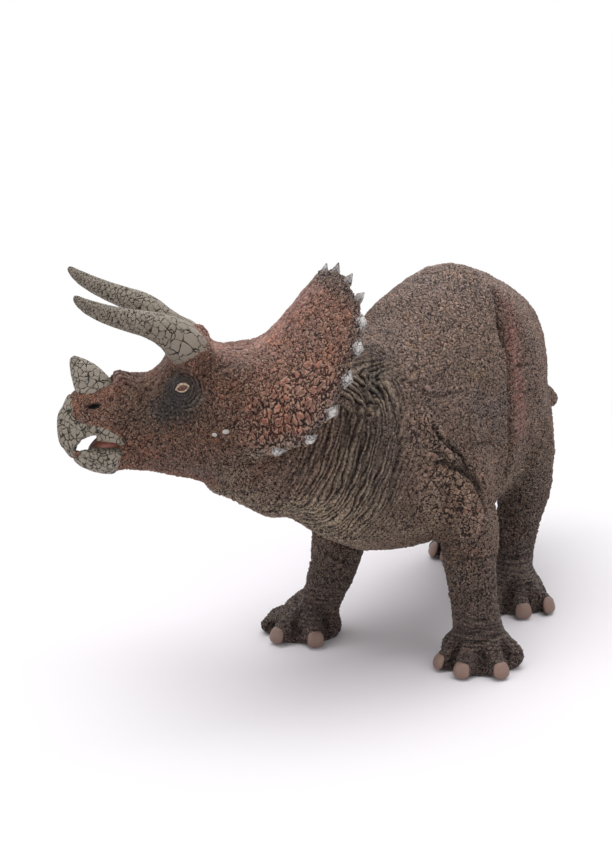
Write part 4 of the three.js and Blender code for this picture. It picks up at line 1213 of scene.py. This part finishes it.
# Lengths of a horn's settings: its line is out, ahead and up, and its bend is ahead, width and move up
hornLook = {"color": "#5f5549", "second": "#706559", "pale": "#918779", "tip": "#4f4741", "wash": "#17100c",
            "tipStrength": 0.15, "washStrength": 1.0, "cell": 0.5, "randomness": 1.0, "crack": 0.07, "depth": 0.35}
browHorn = {"line": [(7.2, 36.5, 16), (8, 39.8, 20.8), (8.8, 43.7, 24.8), (10, 49.4, 27.7), (11.4, 55.6, 29.7),
                     (12.9, 61.4, 32), (14.4, 66.5, 34.9), (15, 68.9, 37.1)],
            "farSlim": 0.95, "farBend": [(40, 5.5, -2.6), (60, 12, 0.5)], "around": 3.8, "stretch": 0.5,
            "voxel": 0.5, "rounds": 8}
noseHorn = {"line": [(0, 61.6, 4.5), (0, 63.6, 8.4), (0, 65.4, 11.7), (0, 67.4, 14.4), (0, 69, 16.5)],
            "around": 2.6, "stretch": 1.0, "voxel": 0.45, "rounds": 6, "lean": (11, 6, 0.7), "cell": 0.62,
            "crack": 0.09, "depth": 0.25}
hornShape = {"beyond": 3, "finer": 0.035, "finerFrom": 10, "tipFrom": 0.55, "rootWidth": 0.6, "root": (-2.0, 2.2),
             "slimming": (4, 14)}


def wrapCoordinates(ob, line, around, stretch, slim=1):
    # unrolls a horn for its cracks, along its line and round it on one radius, and gives its points made slimmer
    line = smoothLine(line, 4)
    points = getPoints(ob)
    lengths = np.concatenate([[0], np.cumsum(np.linalg.norm(np.diff(line, axis=0), axis=1))])
    best = np.full(len(points), 1e9)
    along, foot, heading = np.zeros(len(points)), np.zeros_like(points), np.zeros_like(points)
    for i in range(len(line) - 1):
        d = line[i + 1] - line[i]
        t = (points - line[i]) @ d / (d @ d)
        t = np.clip(t, -hornShape["beyond"] if i == 0 else 0, hornShape["beyond"] if i == len(line) - 2 else 1)
        spot = line[i] + t[:, None] * d
        distance = np.linalg.norm(points - spot, axis=1)
        closer = distance < best
        best[closer] = distance[closer]
        along[closer] = (lengths[i] + t * np.linalg.norm(d))[closer]
        foot[closer] = spot[closer]
        heading[closer] = d / np.linalg.norm(d)
    away = points - foot
    sideways = np.cross(heading, [0.2, 0.1, 1.0])
    sideways /= np.linalg.norm(sideways, axis=1)[:, None]
    upwards = np.cross(sideways, heading)
    angle = np.arctan2((away * upwards).sum(1), (away * sideways).sum(1))
    tight = along * (stretch + hornShape["finer"] * np.maximum(along - hornShape["finerFrom"], 0))
    store(ob, "plateAt", np.column_stack([tight, around * np.cos(angle), around * np.sin(angle)]))
    store(ob, "tipShare", step(along / lengths[-1], hornShape["tipFrom"], 1.0))
    rootWidth = hornShape["rootWidth"] + (1 - hornShape["rootWidth"]) * step(along, *hornShape["root"])
    return foot + away * (rootWidth * (1 - (1 - slim) * step(along, *hornShape["slimming"])))[:, None]


boneHorn = boneMaterial("crackedHorn", hornLook)
for name, node, side in (("leftBrowHorn", "brow_horn_left", 1), ("rightBrowHorn", "brow_horn_right", -1)):
    horn = smoothCopy(name, node, browHorn["voxel"], browHorn["rounds"])
    shape = wrapCoordinates(horn, headLine(browHorn["line"], side), browHorn["around"], browHorn["stretch"],
                            browHorn["farSlim"] if side < 0 else 1)
    for ahead, width, move in browHorn["farBend"] if side < 0 else ():
        share = np.exp(-(((shape - headAt) @ headAhead - ahead) / width) ** 2)
        shape[:, 2] += share * move
    setPoints(horn, shape)
    relieveBone(horn, hornLook, name + "Relief")
    finishPiece(horn, boneHorn, "horn", node)
horn = smoothCopy("noseHorn", "nose_horn", noseHorn["voxel"], noseHorn["rounds"])
wrapCoordinates(horn, headLine(noseHorn["line"]), noseHorn["around"], noseHorn["stretch"])
at = getPoints(horn)
up, width, move = noseHorn["lean"]
setPoints(horn, at + headAhead * (move * np.exp(-((at[:, 2] - headAt[2] - up) / width) ** 2))[:, None])
noseLook = dict(hornLook, color="#6b6358", second="#7d7468", pale="#a49a8d", cell=noseHorn["cell"],
                crack=noseHorn["crack"], depth=noseHorn["depth"])
relieveBone(horn, noseLook, "noseHornRelief")
finishPiece(horn, boneMaterial("noseHornPaint", noseLook), "horn", "nose_horn")
print("horns made")

beakLook = {"color": "#6a6155", "second": "#786f62", "pale": "#948b7c", "tip": "#5d544c", "wash": "#17100c",
            "tipStrength": 0.0, "washStrength": 1.0, "cell": 0.7, "randomness": 1.0, "crack": 0.13, "depth": 0.25,
            "swell": 0.35, "voxel": 0.5, "rounds": 5, "flatten": [1, 1, 0.8], "seamWidth": 0.4, "seamDepth": 0.7,
            "seam": [(5, 68.4, -7.6), (3.9, 69, -8.6), (3.2, 69.6, -10), (2.2, 70.6, -12.6)]}
beakPaint = boneMaterial("beakPaint", beakLook)
for name, node in (("upperBeak", "upper_beak"), ("lowerBeak", "lower_beak")):
    beak = smoothCopy(name, node, beakLook["voxel"], beakLook["rounds"])
    applyModifier(beak, "BOOLEAN", operation="DIFFERENCE", object=mouthGap, solver="MANIFOLD")
    beak = keepLargestShell(beak)
    at, normals = getPoints(beak), getNormals(beak)
    at += normals * beakLook["swell"]
    # painted shade in the seam carved along each beak
    dark = np.zeros(len(at))
    for side in (1, -1):
        carve(at, normals, headLine(beakLook["seam"], side), beakLook["seamWidth"], beakLook["seamDepth"], dark, 0.0)
    store(beak, "grooveShade", dark)
    setPoints(beak, at)
    store(beak, "plateAt", at * beakLook["flatten"])
    store(beak, "tipShare", np.zeros(len(at)))
    relieveBone(beak, beakLook, name + "Relief")
    finishPiece(beak, beakPaint, "horn", node)
bpy.data.objects.remove(mouthGap)
print("beaks made")

# Tongue: a flattened ball that narrows and droops towards its tip, with a groove along it
tongueLook = {"at": (0, 59.9, -7.3), "width": 4.7, "length": 6.2, "thickness": 2.5, "narrow": 0.3, "groove": 0.25,
              "grooveWidth": 0.16, "droop": 0.15, "roughness": 0.35, "mottle": 1.5, "dark": "#895346",
              "pale": "#b37060", "bump": (0.2, 0.6)}
tongueMaterial, tree, shader = newMaterial("wetTongue", tongueLook["roughness"])
tongueAt = scaled(tree, put(tree, "ShaderNodeTexCoord").outputs["Object"], 1 / mm)
mottle = mottleOf(tree, tongueAt, tongueLook["mottle"])
color = blendColor(tree, mottle["Cloud"], hexColor(tongueLook["dark"]), hexColor(tongueLook["pale"]))
tree.links.new(color, shader.inputs["Base Color"])
addBump(tree, shader, mottle["Speck"], *tongueLook["bump"])
bpy.ops.mesh.primitive_uv_sphere_add(segments=48, ring_count=32, radius=mm)
tongue = bpy.context.object
tongue.name = "tongueFlesh"
at = getPoints(tongue)
narrow = 1 - tongueLook["narrow"] * step(at[:, 1], 0.2, 1)
groove = tongueLook["groove"] * np.exp(-(at[:, 0] / tongueLook["grooveWidth"]) ** 2) * (at[:, 2] > 0)
x, y = at[:, 0] * tongueLook["width"] * narrow, at[:, 1] * tongueLook["length"]
z = (at[:, 2] - groove) * tongueLook["thickness"] - tongueLook["droop"] * np.maximum(y, 0) ** 1.5
setPoints(tongue, headSpot(*tongueLook["at"]) + x[:, None] * headOut + y[:, None] * headAhead + z[:, None] * upright)
faceOutward(tongue)
shadeSmooth(tongue)
finishPiece(tongue, tongueMaterial, "tongue", "tongue")

# Eyes: a painted ball behind an almond lid. Each fade of colour runs over the distance from the pupil's middle
eyeLook = {"roughness": 0.28, "coat": 0.25, "speck": (3.0, 3.0, 0.7), "pupilFade": (0.25, 0.45),
           "ringFade": (-0.3, -0.1), "whiteFade": (0, 0.12), "pupilAhead": 0.1, "lidRoughness": 0.5, "lidMottle": 2.0,
           "lidFade": (0.4, 0.65), "lidBump": (0.15, 0.6), "lidTube": 0.25}
eyeColors = {"iris": "#5a2a1c", "irisLight": "#7c3f28", "pupil": "#140a08", "ring": "#2a1512", "white": "#b9a58c",
             "lid": "#c2ad94", "lidDark": "#7a6353"}
eyeColors = {key: hexColor(code) for key, code in eyeColors.items()}
sides = ((1, "left"), (-1, "right"))
eyeMaterial, tree, shader = newMaterial("glossyEye", eyeLook["roughness"])
shader.inputs["Coat Weight"].default_value = eyeLook["coat"]
away = readNumber(tree, "fromPupil")
speck = noise(tree, readVector(tree, "eyeAt"), *eyeLook["speck"]).outputs[0]
color = blendColor(tree, speck, eyeColors["iris"], eyeColors["irisLight"])
color = blendColor(tree, fade(tree, away, *eyeLook["pupilFade"], 1.0, 0.0), color, eyeColors["pupil"])
for part in ("ring", "white"):
    low, high = (eye["iris"] + more for more in eyeLook[part + "Fade"])
    color = blendColor(tree, fade(tree, away, low, high), color, eyeColors[part])
tree.links.new(color, shader.inputs["Base Color"])
lidMaterial, tree, shader = newMaterial("lidRim", eyeLook["lidRoughness"])
lidAt = scaled(tree, put(tree, "ShaderNodeTexCoord").outputs["Object"], 1 / mm)
mottle = mottleOf(tree, lidAt, eyeLook["lidMottle"])
color = blendColor(tree, fade(tree, mottle["Speck"], *eyeLook["lidFade"]), eyeColors["lid"], eyeColors["lidDark"])
tree.links.new(color, shader.inputs["Base Color"])
addBump(tree, shader, mottle["Speck"], *eyeLook["lidBump"])
for side, name in sides:
    centre = sideSpot(side, eye["at"])
    outward = side * headOut
    bpy.ops.mesh.primitive_uv_sphere_add(segments=48, ring_count=32, radius=eye["ball"] * mm, location=centre * mm)
    ball = bpy.context.object
    ball.name = name + "Eye"
    bpy.ops.object.transform_apply(location=True, rotation=True, scale=True)
    at = getPoints(ball)
    x, y, _ = almondPlace(at, side)
    store(ball, "fromPupil", np.where((at - centre) @ outward > 0, np.hypot(x - eyeLook["pupilAhead"], y), farAway))
    store(ball, "eyeAt", at)
    shadeSmooth(ball)
    finishPiece(ball, eyeMaterial, "eye", "eye_" + name)
    bpy.ops.mesh.primitive_torus_add(major_segments=64, minor_segments=12, major_radius=1,
                                     minor_radius=eyeLook["lidTube"])
    lid = bpy.context.object
    lid.name = name + "EyeLid"
    at = getPoints(lid) * mm
    angle = np.arctan2(at[:, 1], at[:, 0])
    tube = np.hypot(at[:, 0], at[:, 1]) - 1
    px, py = almondOutline(angle)
    length = np.hypot(px, py)
    px, py = px * (1 + tube / length), py * (1 + tube / length)
    rise = (np.sqrt(np.maximum(eye["lidSphere"] ** 2 - px ** 2 - py ** 2, 0))
            + at[:, 2] * eye["lid"] / eyeLook["lidTube"])
    t = math.radians(eye["tilt"])
    ahead, up = px * math.cos(t) - py * math.sin(t), px * math.sin(t) + py * math.cos(t)
    setPoints(lid, centre + rise[:, None] * outward + ahead[:, None] * headAhead + up[:, None] * upright)
    faceOutward(lid)
    shadeSmooth(lid)
    finishPiece(lid, lidMaterial, "head_skin")
print("eyes made")


# Rim studs, toe nails and cheek scales: each modelled once, then copied. The shift gives each copy its own cracks
crackShift = 0.37


def settle(ob, place, ahead, upward, size):
    # turns a master piece so that its Y runs ahead and its Z upward
    z = np.array(upward, float) / np.linalg.norm(upward)
    y = np.array(ahead, float) - z * (np.array(ahead, float) @ z)
    y /= np.linalg.norm(y)
    x = np.cross(y, z)
    turn = np.column_stack([x, y, z])
    points = getPoints(ob)
    store(ob, "plateAt", points * size + np.array(place) * crackShift)
    setPoints(ob, (points * size) @ turn.T + place)


def copyOf(master, name):
    ob = bpy.data.objects.new(name, master.data.copy())
    bpy.context.scene.collection.objects.link(ob)
    return ob


studSink = 0.4


def studMaster(name, top, depth, bevel):
    bpy.ops.mesh.primitive_cone_add(vertices=4, radius1=mm, radius2=top * mm, depth=depth * mm,
                                    location=(0, 0, (depth / 2 - studSink) * mm))
    ob = bpy.context.object
    ob.name = name
    bpy.ops.object.transform_apply(location=True, rotation=True, scale=True)
    applyModifier(ob, "BEVEL", width=bevel * mm, segments=3, limit_method="NONE")
    applyModifier(ob, "SUBSURF", levels=2, render_levels=2, subdivision_type="SIMPLE")
    return ob


# Across, along, height, and the heights between which the stud turns pale. Spikes stand at the top of the rim
studs = {"rhomb": ((2.1, 3.0, 1.4), (0.05, 0.4)), "spike": ((1.5, 2.0, 1.55), (0.4, 1.1)), "spikes": 4,
         "farSide": 0.65, "from": (0.8, 8, 14), "top": (0, -6, 22.0), "smoothAngle": 25}
rhombStud, spikeStud = studMaster("rhombStud", 0.3, 1.0, 0.12), studMaster("spikeStud", 0.14, 1.9, 0.1)
studLook = dict(hornLook, color="#7d7672", second="#a9a4a0", pale="#ece8e4", cell=1.0, crack=0.1, washStrength=0.7,
                tip="#3b3032", tipStrength=0.9)
studPaint = boneMaterial("rimStud", studLook)
rim = np.array(rimLine)
for side, sideName in sides:
    way = np.array([side, 1, 1])
    for k, (out, ahead, up) in enumerate(rimLine):
        if k == 0 and side < 0:
            continue
        before = rim[k - 1] if k else rim[1] * [-1, 1, 1]
        along = rim[min(k + 1, len(rim) - 1)] - before
        share, behind, below = studs["from"]
        outward = np.array([out * share, ahead - behind, up - below] if k else studs["top"])
        spike = k < studs["spikes"]
        stud = copyOf(spikeStud if spike else rhombStud, sideName + "Stud" + str(k))
        size, pale = studs["spike" if spike else "rhomb"]
        size = np.array(size) * (studs["farSide"] if spike and side < 0 else 1)
        tall = getPoints(stud)[:, 2]
        settle(stud, nudged(headSpot(side * out, ahead, up)), headWay(*(along * way)), headWay(*(outward * way)), size)
        store(stud, "tipShare", 1 - step(tall, *pale))
        makeActive(stud)
        bpy.ops.object.shade_smooth_by_angle(angle=math.radians(studs["smoothAngle"]))
        finishPiece(stud, studPaint, "horn")
bpy.data.objects.remove(rhombStud)
bpy.data.objects.remove(spikeStud)
print("studs made")

# Two pale scales on each cheek: out, ahead and up, then half its length and half its height
cheekScales = [((19, 33.1, -1.4), 0.8, 0.55), ((20, 30.1, -0.4), 1.05, 0.65)]
scaleLook = {"thickness": 0.4, "roughness": 0.5, "mottle": 2.0, "dark": "#8f8880", "pale": "#c9c4bd",
             "bump": (0.15, 0.5)}
scaleMaterial, tree, shader = newMaterial("paleScale", scaleLook["roughness"])
mottle = mottleOf(tree, readVector(tree, "plateAt"), scaleLook["mottle"])
color = blendColor(tree, mottle["Speck"], hexColor(scaleLook["dark"]), hexColor(scaleLook["pale"]))
tree.links.new(color, shader.inputs["Base Color"])
addBump(tree, shader, mottle["Speck"], *scaleLook["bump"])
headSkin = [piece for piece, stands in skinPieces if stands == "head"][0]
headPoints, headNormals = getPoints(headSkin), getNormals(headSkin)
bpy.ops.mesh.primitive_uv_sphere_add(segments=24, ring_count=16, radius=mm)
scaleMaster = bpy.context.object
for side, sideName in sides:
    for k, (spot, length, tall) in enumerate(cheekScales):
        aside = np.abs((headPoints - sideSpot(side, spot)) @ np.array([headAhead, upright]).T)
        onSide = (headPoints - headAt) @ headOut * side > 0
        nearest = np.argmin(aside.sum(1) + farAway * ~onSide)
        piece = copyOf(scaleMaster, sideName + "CheekScale" + str(k))
        settle(piece, headPoints[nearest], headAhead, headNormals[nearest],
               np.array([tall, length, scaleLook["thickness"]]))
        shadeSmooth(piece)
        finishPiece(piece, scaleMaterial, "head_skin")
bpy.data.objects.remove(scaleMaster)
print("cheek scales made")

# Nails: squared balls, narrower at the top, flat behind and leaning back; "from" counts from the foot's centre
nail = {"size": (2.5, 2.6, 1.6), "from": 12.5, "above": 2.65, "lean": 0.4, "square": 0.82, "narrow": 0.12,
        "back": 0.5, "roughness": 0.42, "mottle": 1.6, "cloudFade": (0.35, 0.65), "dark": "#584036",
        "pale": "#684c3f", "wash": "#33251f", "wornAndSheen": "#a68c80", "washFade": (0.0, 0.35), "washShare": 0.8,
        "wornAndSheenShare": 0.35, "bump": (0.15, 0.5)}
nailMaterial, tree, shader = newMaterial("paintedNail", nail["roughness"])
mottle = mottleOf(tree, readVector(tree, "plateAt"), nail["mottle"])
color = blendColor(tree, fade(tree, mottle["Cloud"], *nail["cloudFade"]), hexColor(nail["dark"]),
                   hexColor(nail["pale"]))
grain = fade(tree, readNumber(tree, "tipShare"), *nail["washFade"])
color = useGroup(tree, brushGroup, {"Color": color, "Grain": grain, "Wash": hexColor(nail["wash"]),
                                    "Worn And Sheen": hexColor(nail["wornAndSheen"]),
                                    "Wash Strength": nail["washShare"], "Worn And Sheen Strength": nail["wornAndSheenShare"]})["Color"]
tree.links.new(color, shader.inputs["Base Color"])
addBump(tree, shader, mottle["Speck"], *nail["bump"])
bpy.ops.mesh.primitive_uv_sphere_add(segments=32, ring_count=20, radius=mm)
nailMaster = bpy.context.object
at = getPoints(nailMaster)
at[:, :2] = np.sign(at[:, :2]) * np.abs(at[:, :2]) ** nail["square"]
at[:, 0] *= 1 - nail["narrow"] * at[:, 1]
at[:, 2] = np.where(at[:, 2] < 0, at[:, 2] * nail["back"], at[:, 2])
setPoints(nailMaster, at)
for name, centre, side, withNail, _ in feet:
    for k, turn in enumerate(withNail):
        a = math.radians(side * turn)
        heading = np.array([math.sin(a), -math.cos(a), 0])
        piece = copyOf(nailMaster, name + "Nail" + str(k))
        settle(piece, np.array([*centre, nail["above"]]) + nail["from"] * heading, upright,
               heading + nail["lean"] * upright, np.array(nail["size"]))
        store(piece, "tipShare", np.clip(at[:, 2], 0, 1))
        shadeSmooth(piece)
        finishPiece(piece, nailMaterial, "horn")
bpy.data.objects.remove(nailMaster)
print("nails made")
